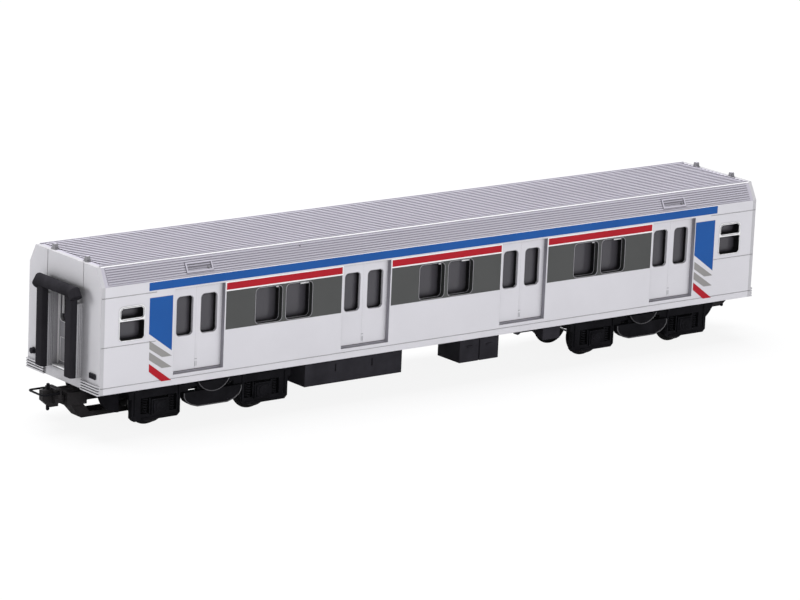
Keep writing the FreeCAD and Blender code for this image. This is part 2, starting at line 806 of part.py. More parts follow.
def gangway_roll():
    """The tube over the gangway, whose ends droop beside the legs."""
    body = doc.addObject("PartDesign::Body", "roll")
    path = open_line(body, "roll_path", "YZ_Plane",
                     [("0", "roll_place"), ("roll_straight / 2", "roll_place"),
                      ("roll_straight / 2 + droop_width", "roll_place - droop_depth")])
    section = new_sketch(body, "roll_section", "XZ_Plane")
    circle = section.addGeometry(Part.Circle(FreeCAD.Vector(0, 1, 0), FreeCAD.Vector(0, 0, 1), 1))
    place_point(section, circle, 3, "0", "roll_place")
    radius = section.addConstraint(Sketcher.Constraint("Radius", circle, 1))
    section.setExpression("Constraints[%d]" % radius, formula("roll_radius"))
    pipe = body.newObject("PartDesign::AdditivePipe", "roll_pipe")
    pipe.Profile = section
    pipe.Spine = (path, ["Edge1", "Edge2"])
    pipe.Transition = "Right corner"
    whole = body.newObject("PartDesign::Mirrored", "roll_halves")
    whole.Originals = [pipe]
    whole.MirrorPlane = (origin_plane(body, "XZ_Plane"), [""])
    body.Tip = whole
    return locate(body, "body_length / 2 + roll_standoff", "0", "0")


def gangways():
    """Two flat tubes beside the doorway, hollowed at the top to seat the roll that lies on them."""
    roll = gangway_roll()
    legs = []
    for hand in (-1, 1):
        leg = block("leg_block_%d" % (hand + 1), "body_length / 2 + post_depth",
                    "%d * leg_spacing / 2 - leg_width / 2" % hand, "leg_bottom", "leg_depth",
                    "leg_width", "roll_place - roll_radius / 2 - leg_bottom")
        smooth = rounded("leg_smooth_%d" % (hand + 1), leg, "leg_round", FRONT_EDGES)
        legs.append(without("leg_%d" % (hand + 1), smooth, roll))
    keep_both_ends("gangway_tubes", group("legs", legs))
    keep_both_ends("gangway_roll", roll)


def end_steps():
    """Slatted step plates at the foot of each end."""
    rise = "step_rise"
    pieces = [block("step_back_plate", "body_length / 2", "step_start", "sill_height", "step_back",
                    "step_width", rise)]
    for number in range(int(sheet.slat_count)):
        place = "sill_height + %d * (%s - slat_depth) / (slat_count - 1)" % (number, rise)
        pieces.append(block("slat_%d" % number, "body_length / 2", "step_start", place, "step_proud",
                            "step_width", "slat_depth"))
    keep_both_ends("end_steps", both_sides("steps", fused("step", pieces)))


def floor():
    keep("floor", block("floor_plate", "-inner_length / 2", "side_thickness - body_width / 2",
                        "floor_underside", "inner_length", "body_width - 2 * side_thickness",
                        "floor_thickness"))
    keep("ballast", block("ballast_plate", "-ballast_length / 2", "-ballast_width / 2",
                          "floor_underside + floor_thickness", "ballast_length", "ballast_width",
                          "ballast_depth"))


def underframe_box(name, start, length, bottom, depth):
    return block(name, start, "body_width / 2 - box_inset - %s" % depth, bottom, length, depth,
                 "floor_underside - %s" % bottom)


def slit(name, place, low, rise):
    """A vertical slit in the front of an underframe box."""
    return block(name, "%s - slit_width / 2" % place, "body_width / 2 - box_inset - slit_depth", low,
                 "slit_width", "2 * slit_depth", rise)


def battery_boxes():
    case = underframe_box("battery_case", "battery_start", "battery_length", "battery_bottom", "box_depth")
    middle = "battery_start + battery_length / 2"
    slits = [slit("battery_slit_%d" % (hand + 1), "%s + %d * battery_slit_place" % (middle, hand),
                  "battery_bottom + slit_place", "slit_rise") for hand in (-1, 1)]
    keep("battery_boxes", both_sides("batteries", without("battery", case, fused("battery_slits", slits))))


def compressor_boxes():
    case = underframe_box("compressor_case", "compressor_start", "compressor_length",
                          "compressor_bottom", "box_depth")
    middle = "(compressor_start + compressor_length / 2)"
    split = slit("compressor_split", middle, "compressor_bottom - 1", "floor_underside")
    handles = [block("handle_%d" % (hand + 1),
                     "%s + %d * compressor_length / 4 - handle_length / 2" % (middle, hand),
                     "body_width / 2 - box_inset", "floor_underside - handle_drop", "handle_length",
                     "handle_depth", "handle_depth") for hand in (-1, 1)]
    box = fused("compressor", [without("compressor_cut", case, split)] + handles)
    keep("compressor_boxes", both_sides("compressors", box))


def tank_boxes():
    """Boxes whose undersides slope up towards the middle of the car."""
    front = "body_width / 2 - box_inset"
    back = "%s - tank_depth" % front
    corners = [(front, "floor_underside"), (front, "tank_bottom"), (back, "tank_bottom + tank_taper"),
               (back, "floor_underside")]
    tank = padded("tank", "YZ_Plane", [corners], "tank_length", x="tank_start + tank_length / 2")
    keep("tank_boxes", both_sides("tanks", tank))


def pipe_clips():
    """Half-round pipe clips under the sill."""
    place = "(body_width / 2 - box_inset)"
    width = "(box_inset - side_thickness)"
    disc = bar("clip_round", "clip_place", place, "clip_bottom + clip_radius", "clip_radius", width,
               ALONG_Y)
    stem = block("clip_stem", "clip_place - clip_radius", place, "clip_bottom + clip_radius",
                 "2 * clip_radius", width, "2 * clip_radius")
    under_floor = block("clip_limit", "clip_place - clip_radius", place, "clip_bottom",
                        "2 * clip_radius", width, "floor_underside - clip_bottom")
    keep("pipe_clips", both_sides("clips", shared("clip", fused("clip_whole", [disc, stem]), under_floor)))


def pivot_pins():
    shank = rod("pivot_shank", "bogie_centre", "0", "pivot_bottom", "pivot_radius",
                "floor_underside - pivot_bottom")
    head = bar("pivot_head", "bogie_centre", "0", "pivot_bottom - pivot_head_depth",
               "pivot_head_radius", "pivot_head_depth")
    keep_both_ends("pivot_pin", fused("pivot_pin", [shank, head]))


def axle_places():
    return ["bogie_centre - wheelbase / 2", "bogie_centre + wheelbase / 2"]


def side_frame_outlines():
    """One bogie side frame: a notched top beam with two pedestals that hang from it."""
    half = [("notch_place - notch_width / 2", "beam_bottom"),
            ("notch_place - notch_width / 2", "beam_bottom + notch_rise"),
            ("notch_place + notch_width / 2", "beam_bottom + notch_rise"),
            ("notch_place + notch_width / 2", "beam_bottom"), ("pedestal_inner", "beam_bottom"),
            ("pedestal_inner", "pedestal_bottom + pedestal_bevel"),
            ("pedestal_inner + pedestal_bevel", "pedestal_bottom"),
            ("pedestal_outer - pedestal_bevel", "pedestal_bottom"),
            ("pedestal_outer", "pedestal_bottom + pedestal_bevel"), ("pedestal_outer", "beam_bottom"),
            ("frame_length / 2", "beam_bottom"), ("frame_length / 2", "frame_top")]
    other = [("-(%s)" % across, up) for across, up in reversed(half)]
    left = "pedestal_inner + column_width"
    right = "wheelbase / 2 + pedestal_reach_in - column_width"
    windows = [rectangle(left, right, "tie_top", "beam_bottom"),
               rectangle("-(%s)" % right, "-(%s)" % left, "tie_top", "beam_bottom")]
    return [half + other] + windows


def side_frame():
    """The far side frame with its axleboxes and their lids."""
    pieces = [padded("side_frame", "XZ_Plane", side_frame_outlines(), "frame_thickness",
                     x="bogie_centre", y="frame_inner + frame_thickness / 2")]
    for number, place in enumerate(axle_places()):
        pieces.append(block("axlebox_%d" % number, "%s - axlebox_width / 2" % place, "frame_inner",
                            "axlebox_bottom", "axlebox_width", "frame_thickness + axlebox_proud",
                            "axlebox_top - axlebox_bottom"))
        pieces.append(block("axlebox_lid_%d" % number, "%s - axlebox_width / 2 + axlebox_rim" % place,
                            "frame_outer + axlebox_proud", "axlebox_bottom + axlebox_rim",
                            "axlebox_width - 2 * axlebox_rim", "axlebox_lid",
                            "axlebox_top - axlebox_bottom - 2 * axlebox_rim"))
    return pieces


def bearing_pits():
    """Blind pits that the axles' points run in."""
    mouth = "(frame_inner - 1)"
    radius = "bar_allowance * (axle_radius * pit_depth / axle_point + bearing_fit)"
    return fused("pits", [bar("pit_%d" % number, place, mouth, "axle_height", radius,
                              "axle_end + bearing_fit - %s" % mouth, ALONG_Y)
                          for number, place in enumerate(axle_places())])


def bogie_frames():
    """Side frames that two headstocks join."""
    far = without("side_frame_bored", fused("side_frame_whole", side_frame()), bearing_pits())
    near = mirrored("side_frame_near", far, y=1)
    bars = [block("headstock_%d" % number, start, "-frame_inner", "frame_top - headstock_depth",
                  "headstock_width", "2 * frame_inner", "headstock_depth")
            for number, start in enumerate(("bay", "frame_end - headstock_width"))]
    keep_both_ends("bogie_frame", fused("bogie_frame_whole", [far, near] + bars))


def bogie_bolsters():
    """The cross beam with the centre bearing that the car's pivot pin goes through."""
    beam = block("bolster_beam", "bogie_centre - bolster_width / 2", "-frame_inner", "beam_bottom",
                 "bolster_width", "2 * frame_inner", "beam_depth")
    boss = rod("bolster_boss", "bogie_centre", "0", "beam_bottom", "boss_radius",
               "floor_underside - boss_gap - beam_bottom")
    bore = rod("bolster_bore", "bogie_centre", "0", "beam_bottom - 1", "pivot_radius + pivot_fit",
               "floor_underside - beam_bottom + 2")
    keep_both_ends("bogie_bolster", without("bolster", fused("bolster_whole", [beam, boss]), bore))


def spring(name, place):
    """A coil spring moulded in relief: its outline swells once for each turn."""
    pitch = "((beam_bottom - tie_top) / spring_turns)"
    turns = int(sheet.spring_turns)
    right = [("spring_core", "tie_top")]
    for number in range(turns):
        right.append(("spring_radius", "tie_top + (%d + 0.5) * %s" % (number, pitch)))
        right.append(("spring_core", "tie_top + %d * %s" % (number + 1, pitch)))
    left = [("-" + across, up) for across, up in reversed(right)]
    return padded(name, "XZ_Plane", [right + left], "2 * spring_core", x=place,
                  y="frame_inner + frame_thickness / 2")


def bogie_springs():
    springs = [spring("spring_%d_%d" % (number, hand + 1), "%s + %d * spring_offset" % (place, hand))
               for number, place in enumerate(axle_places()) for hand in (-1, 1)]
    near = group("springs_near", springs)
    keep_both_ends("bogie_springs", group("springs", [near, mirrored("springs_far", near, y=1)]))


def plank_outline():
    """The lower edge of the boat-shaped spring seat, which curves up to both ends."""
    rise = "(beam_bottom - plank_bottom)"
    right = [("0.26 * plank_width", "plank_bottom"), ("0.38 * plank_width", "plank_bottom + 0.16 * " + rise),
             ("0.46 * plank_width", "plank_bottom + 0.39 * " + rise),
             ("plank_width / 2", "plank_bottom + 0.68 * " + rise), ("plank_width / 2", "beam_bottom")]
    return right + [("-" + across, up) for across, up in reversed(right)]


def spring_planks():
    """The boat-shaped spring seat in the middle of each side frame, with its bolster bowl."""
    boat = padded("plank_boat", "XZ_Plane", [plank_outline()], "plank_depth", x="bogie_centre",
                  y="frame_outer + plank_proud - plank_depth / 2")
    curve = "((bowl_width * bowl_width / 4 + bowl_depth * bowl_depth) / (2 * bowl_depth))"
    disc = rod("bowl_disc", "bogie_centre", "frame_outer", "frame_top - bowl_depth + %s" % curve,
               curve, "bowl_proud", ALONG_Y)
    slab = block("bowl_slab", "bogie_centre - bowl_width / 2", "frame_outer", "frame_top - bowl_depth",
                 "bowl_width", "bowl_proud", "bowl_depth")
    seat = fused("plank", [boat, shared("bowl", disc, slab)])
    keep_both_ends("bogie_planks", both_sides("planks", seat))


def rail_guards():
    """Quarter-round plates that hang from the outer headstock."""
    side = "guard_spacing / 2 - guard_thickness / 2"
    top = "(frame_top - headstock_depth / 4)"
    disc = rod("guard_disc", "frame_end", side, top, "guard_radius", "guard_thickness", ALONG_Y)
    corner = block("guard_corner", "frame_end", side, "%s - guard_radius" % top, "guard_radius",
                   "guard_thickness", "guard_radius")
    keep_both_ends("bogie_guards", both_sides("guards", shared("guard", disc, corner)))


def coupler_arms():
    """The draw arm under the outer axle, which ends in the coupler's pocket."""
    arm_top = "arm_bottom + arm_thickness"
    ramp_foot = ("ramp_start - ramp_width + arm_thickness * (ramp_end - ramp_start)"
                 " / (pocket_bottom - arm_bottom)")
    arm = padded("arm_bar", "XZ_Plane",
                 [[("post_place", "beam_bottom"), ("post_place", "arm_bottom"), ("ramp_start", "arm_bottom"),
                   ("ramp_end", "pocket_bottom"), ("ramp_end - ramp_width", "pocket_bottom"),
                   (ramp_foot, arm_top), ("post_place + arm_thickness", arm_top),
                   ("post_place + arm_thickness", "beam_bottom")]],
                 "arm_width", x="bogie_centre")
    strut = block("arm_strut", "frame_end", "-arm_width / 2", "strut_bottom",
                  "pocket_start - frame_length / 2", "arm_width", "strut_top - strut_bottom")
    pocket = block("pocket_whole", "bogie_centre + pocket_start", "-pocket_width / 2", "pocket_bottom",
                   "pocket_end - pocket_start", "pocket_width", "pocket_depth")
    cavity = block("pocket_cavity", "bogie_centre + pocket_start + pocket_wall",
                   "pocket_wall - pocket_width / 2", "pocket_bottom + pocket_wall",
                   "pocket_end - pocket_start", "pocket_width - 2 * pocket_wall",
                   "pocket_depth - 2 * pocket_wall")
    bore = bar("pocket_bore", "bogie_centre + coupler_pivot", "0", "pocket_bottom",
               "coupler_pin_radius", "pocket_depth + 1")
    whole = fused("arm_whole", [arm, strut, pocket])
    keep_both_ends("coupler_arm", without("arm", whole, fused("pocket_tools", [cavity, bore])))
    keep_both_ends("coupler_pivot_pin", bar("coupler_pin", "bogie_centre + coupler_pivot", "0",
                                            "pocket_bottom", "coupler_pin_radius", "pocket_depth"))


def coupler_heads():
    """The swinging head: a tongue, a block with the bail's bearings, a hook and its drop pin."""
    pivot = "bogie_centre + coupler_pivot"
    tongue = block("tongue_bar", pivot, "-tongue_width / 2", "tongue_bottom",
                   "head_start - coupler_pivot", "tongue_width", "tongue_depth")
    eye = rod("tongue_eye", pivot, "0", "tongue_bottom", "tongue_width / 2", "tongue_depth")
    head = block("head_block", "bogie_centre + head_start", "-head_width / 2", "head_bottom",
                 "head_length", "head_width", "head_top - head_bottom")
    hook = padded("hook_plate", "XZ_Plane",
                  [[("head_start", "hook_bottom"), ("head_end + drop_pin_radius", "hook_bottom"),
                    ("head_end + hook_length", "hook_tip_bottom"),
                    ("head_end + hook_length", "hook_top"), ("head_start", "hook_top")]],
                  "hook_width", x="bogie_centre")
    ledge = block("bail_ledge", "bogie_centre + head_end - ledge_depth",
                  "-bail_width / 2 - bail_radius", "bail_axis - bail_radius - bail_fit - ledge_depth",
                  "ledge_depth", "bail_width + 2 * bail_radius", "ledge_depth")
    bores = [rod("tongue_bore", pivot, "0", "tongue_bottom - 1", "coupler_pin_radius + coupler_fit",
                 "tongue_depth + 2"),
             bar("drop_pin_bore", "drop_pin_centre", "0", "hook_bottom - 1", "drop_pin_radius",
                 "hook_top - hook_bottom + 2"),
             bar("bail_bore", "bogie_centre + bail_pivot", "-head_width", "bail_axis",
                 "bar_allowance * (bail_radius + bail_fit)", "2 * head_width", ALONG_Y)]
    whole = fused("head_whole", [tongue, eye, head, hook, ledge])
    keep_both_ends("coupler_head", without("head", whole, fused("head_bores", bores)))
    keep_both_ends("drop_pin", bar("drop_pins", "drop_pin_centre", "0", "drop_pin_bottom",
                                   "drop_pin_radius", "drop_pin_top - drop_pin_bottom"))


def coupler_bails():
    """The wire loop that lifts over the next car's hook, with its shaft through the head."""
    pivot = "bogie_centre + bail_pivot"
    across = "bail_width + 2 * bail_radius"
    pieces = [bar("bail_bar", "%s + bail_reach" % pivot, "-(%s) / 2" % across, "bail_axis",
                  "bail_radius", across, ALONG_Y),
              bar("bail_shaft", pivot, "-bail_width / 2", "bail_axis", "bail_radius", "bail_width",
                  ALONG_Y)]
    for hand in (-1, 1):
        pieces.append(bar("bail_arm_%d" % (hand + 1), "%s - bail_radius" % pivot,
                          "%d * bail_width / 2" % hand, "bail_axis", "bail_radius",
                          "bail_reach + 1.5 * bail_radius", ALONG_X))
    keep_both_ends("coupler_bail", fused("bail", pieces))


def wheel_profile():
    """Places along the axle and radii of one wheel, its flange on the inside."""
    back = "back_to_back / 2"
    tread = "%s + flange_thickness" % back
    face = "%s + wheel_width" % back
    return [(back, "axle_radius"), (back, "axle_height"), (tread, "axle_height"), (tread, "tread_radius"),
            (face, "tread_radius"), (face, "axle_radius")]


def axle_profile():
    return [("-axle_end", "0"), ("-axle_shoulder", "axle_radius"), ("axle_shoulder", "axle_radius"),
            ("axle_end", "0")]


def wheelsets():
    for number, place in enumerate(["-bogie_centre - wheelbase / 2", "wheelbase / 2 - bogie_centre"]
                                   + axle_places(), start=1):
        wheel = turned("wheel_blank_%d" % number, wheel_profile(), x=place, z="axle_height")
        keep("wheels_%d" % number, both_sides("wheel_pair_%d" % number, wheel))
        keep("axle_%d" % number, turned("axle_blank_%d" % number, axle_profile(), x=place,
                                        z="axle_height"))


def check_document():
    for item in doc.Objects:
        if "Invalid" in item.State or "Error" in item.State:
            raise RuntimeError("%s is not built: %s" % (item.Name, item.State))
    for item in subparts:
        if item.Shape.isNull() or not item.Shape.isValid():
            raise RuntimeError("%s has no valid shape" % item.Label)


def write_parts():
    os.makedirs("parts", exist_ok=True)
    for item in subparts:
        item.Shape.exportStep("parts/%s.step" % item.Label)


body_side()
doors()
glazing()
end_window_frames()
body_ends()
end_doors()
roof()
gangways()
end_steps()
floor()
battery_boxes()
compressor_boxes()
tank_boxes()
pipe_clips()
pivot_pins()
bogie_frames()
bogie_bolsters()
bogie_springs()
spring_planks()
rail_guards()
coupler_arms()
coupler_heads()
coupler_bails()
wheelsets()

doc.recompute()
check_document()
write_parts()
print("%d sub-parts written" % len(subparts))
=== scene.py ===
import math

import bmesh
import bpy
from mathutils import Matrix, Vector


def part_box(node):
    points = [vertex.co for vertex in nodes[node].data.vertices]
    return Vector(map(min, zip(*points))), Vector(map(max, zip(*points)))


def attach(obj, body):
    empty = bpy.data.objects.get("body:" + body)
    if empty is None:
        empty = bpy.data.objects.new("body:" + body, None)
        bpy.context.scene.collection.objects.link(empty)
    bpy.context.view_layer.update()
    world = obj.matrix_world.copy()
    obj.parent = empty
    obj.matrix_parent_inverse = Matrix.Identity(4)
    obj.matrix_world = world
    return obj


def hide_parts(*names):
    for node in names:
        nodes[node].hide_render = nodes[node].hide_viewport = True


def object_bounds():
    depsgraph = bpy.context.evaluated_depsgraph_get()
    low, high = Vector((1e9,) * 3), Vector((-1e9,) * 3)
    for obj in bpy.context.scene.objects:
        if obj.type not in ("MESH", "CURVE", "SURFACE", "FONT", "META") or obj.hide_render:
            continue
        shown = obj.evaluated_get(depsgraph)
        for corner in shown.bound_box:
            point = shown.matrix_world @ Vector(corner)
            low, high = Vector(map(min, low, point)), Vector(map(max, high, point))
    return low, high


# The looks of a scale model metro car. X runs along the car, Y across it and Z up. Sizes are in
# millimetres, unless a comment says metres, and MM turns them into metres.

MM = 0.001

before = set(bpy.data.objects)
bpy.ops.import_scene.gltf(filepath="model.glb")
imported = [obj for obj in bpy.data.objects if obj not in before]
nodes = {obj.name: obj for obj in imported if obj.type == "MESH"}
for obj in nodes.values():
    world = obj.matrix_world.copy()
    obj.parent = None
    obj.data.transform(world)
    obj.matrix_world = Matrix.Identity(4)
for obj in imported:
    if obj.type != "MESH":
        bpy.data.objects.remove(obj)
cad_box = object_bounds()

# Body
BODY_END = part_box("end_steps_b")[0].x / MM
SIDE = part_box("body_side_right")[1].y / MM
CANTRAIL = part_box("body_side_right")[1].z / MM
WALL = (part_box("body_side_right")[1].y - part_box("body_side_right")[0].y) / MM
ROOF_RISE = 5.2
ROOF_RUN = 2.8
SLOPE = math.hypot(ROOF_RISE, ROOF_RUN)
ROOF_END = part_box("roof")[1].x / MM
OUTER_DOOR = 85.3
DOOR_WIDTH = 16.6
DOOR_BOTTOM = 16.2
DOOR_TOP = 40.2
LEAF_DEPTH = 0.8
INK = 0.035  # thickness of a printed field
FINE = 0.02  # thickness of a printed line

# Livery, on the left side
BAND_LOW = 40.7
BAND_HIGH = 43.0
BAND_REACH = 102.1
STRIPE_LOW = 38.05
STRIPE_HIGH = 40.0
STRIPE_EDGE = 0.3
PANEL_LOW = 26.8
PANEL_HIGH = 37.65
PANEL_LENGTH = 39.4
PANEL_SPACING = OUTER_DOOR * 2 / 3
CREST_START = -101.85
CREST_END = -94.25
CREST_TOP = 38.7
CREST_OUTER_LOW = 28.7
CREST_INNER_LOW = 23.2
CREST_SHIFT = 195.7
CHEVRON_START = -101.6
CHEVRON_BEND = -97.4
CHEVRON_END = -94.15
CHEVRON_DEPTH = 2.25
GREY_CHEVRONS = (26.7, 23.6)
GREY_CHEVRON_DROP = 5.0
RED_CHEVRON = 20.3
RED_CHEVRON_DROP = 5.45
CANTRAIL_HIGHLIGHT = 0.15

# Windows
WINDOW_LOW = 27.1
WINDOW_HIGH = 37.3
WINDOW_WIDTH = 9.0
WINDOW_PILLAR = 1.3
WINDOW_SHIFT = 0.15
WINDOW_ROUND = 1.3
END_WINDOW = 107.5
END_WINDOW_LOW = 27.6
END_WINDOW_HIGH = 37.3
SASH_HALF = 3.65
LOWER_SASH_HALF = 4.0
TRANSOM = 33.52
TRANSOM_DEPTH = 0.7
FRAME_WIDTH = 0.55
FRAME_EDGE = 0.2
FRAME_PROUD = 0.15
LEAF_WINDOW = 4.0
LEAF_WINDOW_WIDTH = 5.4
LEAF_WINDOW_LOW = 26.4
LEAF_WINDOW_HIGH = 37.5
LEAF_WINDOW_ROUND = 1.2
GLASS_DEPTH = 3.1
SASH_ROUND = 1.1
SASH_GLASS_DEPTH = 2.3
SASH_LINE_OUT = 0.34
SASH_LINE_IN = 0.22
PANE = 0.3
RIM = 0.1
RIM_DEPTH = 0.12
REVEAL_PROUD = 0.05
LINER = 0.06
LINER_LAP = 0.15
SASH_LINER = 0.1
SASH_LINER_DEPTH = 0.05
GLINT_LENGTHS = (1.0, 3.0)
GLINT_END = 0.25
GLINT_TOP = 0.6
GLINT_HEIGHT = 0.3
ARC_STEPS = 6

# Ends
DOOR_FACE = BODY_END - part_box("end_door_b")[1].x / MM
SLAT_DEPTH = 0.42
STEP_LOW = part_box("end_steps_b")[0].z / MM
STEP_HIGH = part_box("end_steps_b")[1].z / MM
STEP_BACK = 0.2
STEP_START = 9.2
SLATS = 4

# Bogies and wheels
BOGIES = (("a", -77.75), ("b", 77.75))
AXLES = (-17.25, 17.25)
FRAME_FACE = 13.5
PEDESTAL_IN = 7.1
PEDESTAL_OUT = 8.9
AXLE_HEIGHT = 6.25
SPRING_PLACE = 4.4
SPRING_LINE = 12.7
SPRING_LOW = 4.9
SPRING_HIGH = 9.4
BOAT_FACE = 14.5
BOAT_LOW = 5.0
BOAT_WIDTH = 19.4
BEAM_LOW = 9.4
BOWL_WIDTH = 10.4
BOWL_LOW = 8.9
BOWL_DEPTH = 3.0
BOWL_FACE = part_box("bogie_planks_b")[1].y / MM
WHEEL_BACK = 7.2
WHEEL_FACE = 10.0
TREAD = 5.25
FLANGE = 6.25


# Node building

SHADE_SAMPLES = 4
# Painted shade: a hollow's colour darkens between these shares of open sky.
OPEN_RANGE = (0.35, 0.85)  # shares of open sky between which a hollow darkens
GLOSS_RANGE = (0.85, 1.15)
COAT_ROUGH = 0.12


def new_material(name):
    material = bpy.data.materials.new(name)
    material.use_nodes = True
    tree = material.node_tree
    tree.nodes.clear()
    out = tree.nodes.new("ShaderNodeOutputMaterial")
    shader = tree.nodes.new("ShaderNodeBsdfPrincipled")
    tree.links.new(shader.outputs["BSDF"], out.inputs["Surface"])
    return material, tree, shader


def noise(tree, size, detail=3.0, stretch=(1, 1, 1)):
    """Noise whose blotches are about this many millimetres across; stretch lengthens them."""
    place = tree.nodes.new("ShaderNodeTexCoord")
    scaled = tree.nodes.new("ShaderNodeMapping")
    scaled.inputs["Scale"].default_value = [1 / (size * MM * part) for part in stretch]
    texture = tree.nodes.new("ShaderNodeTexNoise")
    texture.inputs["Scale"].default_value = 1.0
    texture.inputs["Detail"].default_value = detail
    tree.links.new(place.outputs["Object"], scaled.inputs["Vector"])
    tree.links.new(scaled.outputs["Vector"], texture.inputs["Vector"])
    return texture.outputs["Fac"]


def spread(tree, value, low, high, start=0.3, stop=0.7):
    """Maps a value's range, a noise's middle by default, to low..high."""
    node = tree.nodes.new("ShaderNodeMapRange")
    node.inputs["From Min"].default_value = start
    node.inputs["From Max"].default_value = stop
    node.inputs["To Min"].default_value = low
    node.inputs["To Max"].default_value = high
    tree.links.new(value, node.inputs["Value"])
    return node.outputs["Result"]


def tint(tree, value, dark, light):
    """A colour between two, by a value from 0 to 1."""
    node = tree.nodes.new("ShaderNodeMix")
    node.data_type = "RGBA"
    node.inputs["A"].default_value = (*dark, 1)
    node.inputs["B"].default_value = (*light, 1)
    tree.links.new(value, node.inputs["Factor"])
    return node.outputs["Result"]


def painted_hollow_shade(tree, colour, reach, darkest):
    """Painted shade: darkens a colour in grooves and corners whose sides lie within this reach in
    millimetres.
    """
    sky = tree.nodes.new("ShaderNodeAmbientOcclusion")
    sky.samples = SHADE_SAMPLES
    sky.inputs["Distance"].default_value = reach * MM
    node = tree.nodes.new("ShaderNodeMix")
    node.data_type = "RGBA"
    node.blend_type = "MULTIPLY"
    node.inputs["Factor"].default_value = 1.0
    tree.links.new(colour, node.inputs["A"])
    shade = spread(tree, sky.outputs["AO"], darkest, 1.0, *OPEN_RANGE)
    tree.links.new(shade, node.inputs["B"])
    return node.outputs["Result"]


def relief(tree, shader, value, depth, edge):
    """Bump of this depth in millimetres over edges rounded by this radius."""
    bump = tree.nodes.new("ShaderNodeBump")
    bump.inputs["Strength"].default_value = 1.0
    bump.inputs["Distance"].default_value = depth * MM
    tree.links.new(value, bump.inputs["Height"])
    if edge:
        soft = tree.nodes.new("ShaderNodeBevel")
        soft.samples = SHADE_SAMPLES
        soft.inputs["Radius"].default_value = edge * MM
        tree.links.new(soft.outputs["Normal"], bump.inputs["Normal"])
    tree.links.new(bump.outputs["Normal"], shader.inputs["Normal"])


def finish(name, colour, rough, metallic=0.0, vary=0.05, blotch=14.0, grain=0.25, depth=0.002,
           edge=0.12, coat=0.0, stretch=(1, 1, 1), specular=0.5, painted_shade_reach=0.0, darkest=0.4):
    """A painted or moulded surface: tonal blotches, uneven gloss, fine grain, soft edges, painted
    hollow shade.
    """
    material, tree, shader = new_material(name)
    broad = spread(tree, noise(tree, blotch, 4.0, stretch), 0.0, 1.0)
    dark = [part * (1 - vary) for part in colour]
    light = [min(part * (1 + vary), 1.0) for part in colour]
    paint = tint(tree, broad, dark, light)
    # Painted shade: the colour darkens in grooves and corners within this reach.
    if painted_shade_reach:
        paint = painted_hollow_shade(tree, paint, painted_shade_reach, darkest)
    tree.links.new(paint, shader.inputs["Base Color"])
    fine = noise(tree, grain, 2.0)
    gloss = spread(tree, noise(tree, blotch / 3), *[rough * share for share in GLOSS_RANGE])
    tree.links.new(gloss, shader.inputs["Roughness"])
    shader.inputs["Metallic"].default_value = metallic
    shader.inputs["Specular IOR Level"].default_value = specular
    shader.inputs["Coat Weight"].default_value = coat
    shader.inputs["Coat Roughness"].default_value = COAT_ROUGH
    relief(tree, shader, fine, depth, edge)
    return material


# Body silver, with painted shade darkening its grooves and corners.
SILVER = finish("silver_paint", (0.665, 0.656, 0.695), 0.42, metallic=0.2, vary=0.02, depth=0.0012,
                painted_shade_reach=0.9, darkest=0.42)
# Silver of the ends, painted darker as shade, with painted shade reaching far into their corners.
END_SILVER_SHADED = finish("end_silver_painted_shade", (0.49, 0.484, 0.51), 0.5, metallic=0.15, vary=0.03, depth=0.0015,
                    painted_shade_reach=8.0, darkest=0.4)
# Roof paint, with painted shade in the grooves between its ribs.
ROOF = finish("roof_paint", (0.452, 0.436, 0.50), 0.6, specular=0.2, vary=0.035, depth=0.0015,
              stretch=(6, 1, 1), edge=0.05, painted_shade_reach=0.5, darkest=0.3)
# Painted shade for the flanks of the roof ribs, the slope ribs and round the vents.
RIB_SHADE = finish("roof_rib_shade", (0.17, 0.16, 0.19), 0.5, metallic=0.2, vary=0.1, blotch=6.0,
                   edge=0.0, stretch=(6, 1, 1))
LUG = finish("lug_paint", (0.18, 0.177, 0.192), 0.45, metallic=0.2, vary=0.08, blotch=1.0, edge=0.1)
FRAME_SILVER = finish("frame_silver", (0.86, 0.86, 0.87), 0.3, metallic=0.2, vary=0.02, edge=0.06)
# Pale rims of the window openings: partly their bare edges, partly painted highlight.
RIM_EDGE_AND_HIGHLIGHT = finish("rim_edge_and_highlight", (0.42, 0.41, 0.44), 0.35, metallic=0.2, vary=0.04, blotch=3.0,
                  edge=0.0)
# Lilac-grey: painted shade in the door openings, and the paint of the door marks.
JAMB = finish("lilac_grey_paint_and_shade", (0.27, 0.262, 0.295), 0.45, metallic=0.1, vary=0.03, edge=0.05)
# Dark lines: painted shadow by the doors; also the sash lines and the dot on the roof.
LINE = finish("dark_line_paint_and_shadow", (0.055, 0.053, 0.06), 0.5, vary=0.08, blotch=3.0, edge=0.0)
# White print, also used for painted highlights by the cantrail and the windows.
WHITE = finish("white_print_and_highlight", (0.86, 0.85, 0.86), 0.4, vary=0.015, edge=0.0)
BLUE = finish("blue_print", (0.0045, 0.08, 0.32), 0.38, vary=0.06, edge=0.0, specular=0.25)
RED = finish("red_print", (0.40, 0.006, 0.016), 0.4, vary=0.06, edge=0.0, specular=0.2)
PANEL = finish("window_panel_print", (0.066, 0.068, 0.067), 0.42, vary=0.05, edge=0.0,
               specular=0.3)
REVEAL = finish("window_reveal_paint", (0.034, 0.036, 0.035), 0.5, vary=0.06, edge=0.0,
                specular=0.2)
# Painted highlight along the upper edges of the roof slopes.
EDGE_HIGHLIGHT = finish("roof_edge_painted_highlight", (0.93, 0.92, 0.95), 0.35, metallic=0.1, vary=0.03,
                    blotch=5.0, edge=0.0)
CHEVRON = finish("grey_print", (0.28, 0.272, 0.268), 0.42, vary=0.04, edge=0.0, specular=0.3)
BLACK = finish("black_plastic", (0.008, 0.0078, 0.0095), 0.45, vary=0.3, blotch=4.0, grain=0.18,
               depth=0.004, specular=0.03)
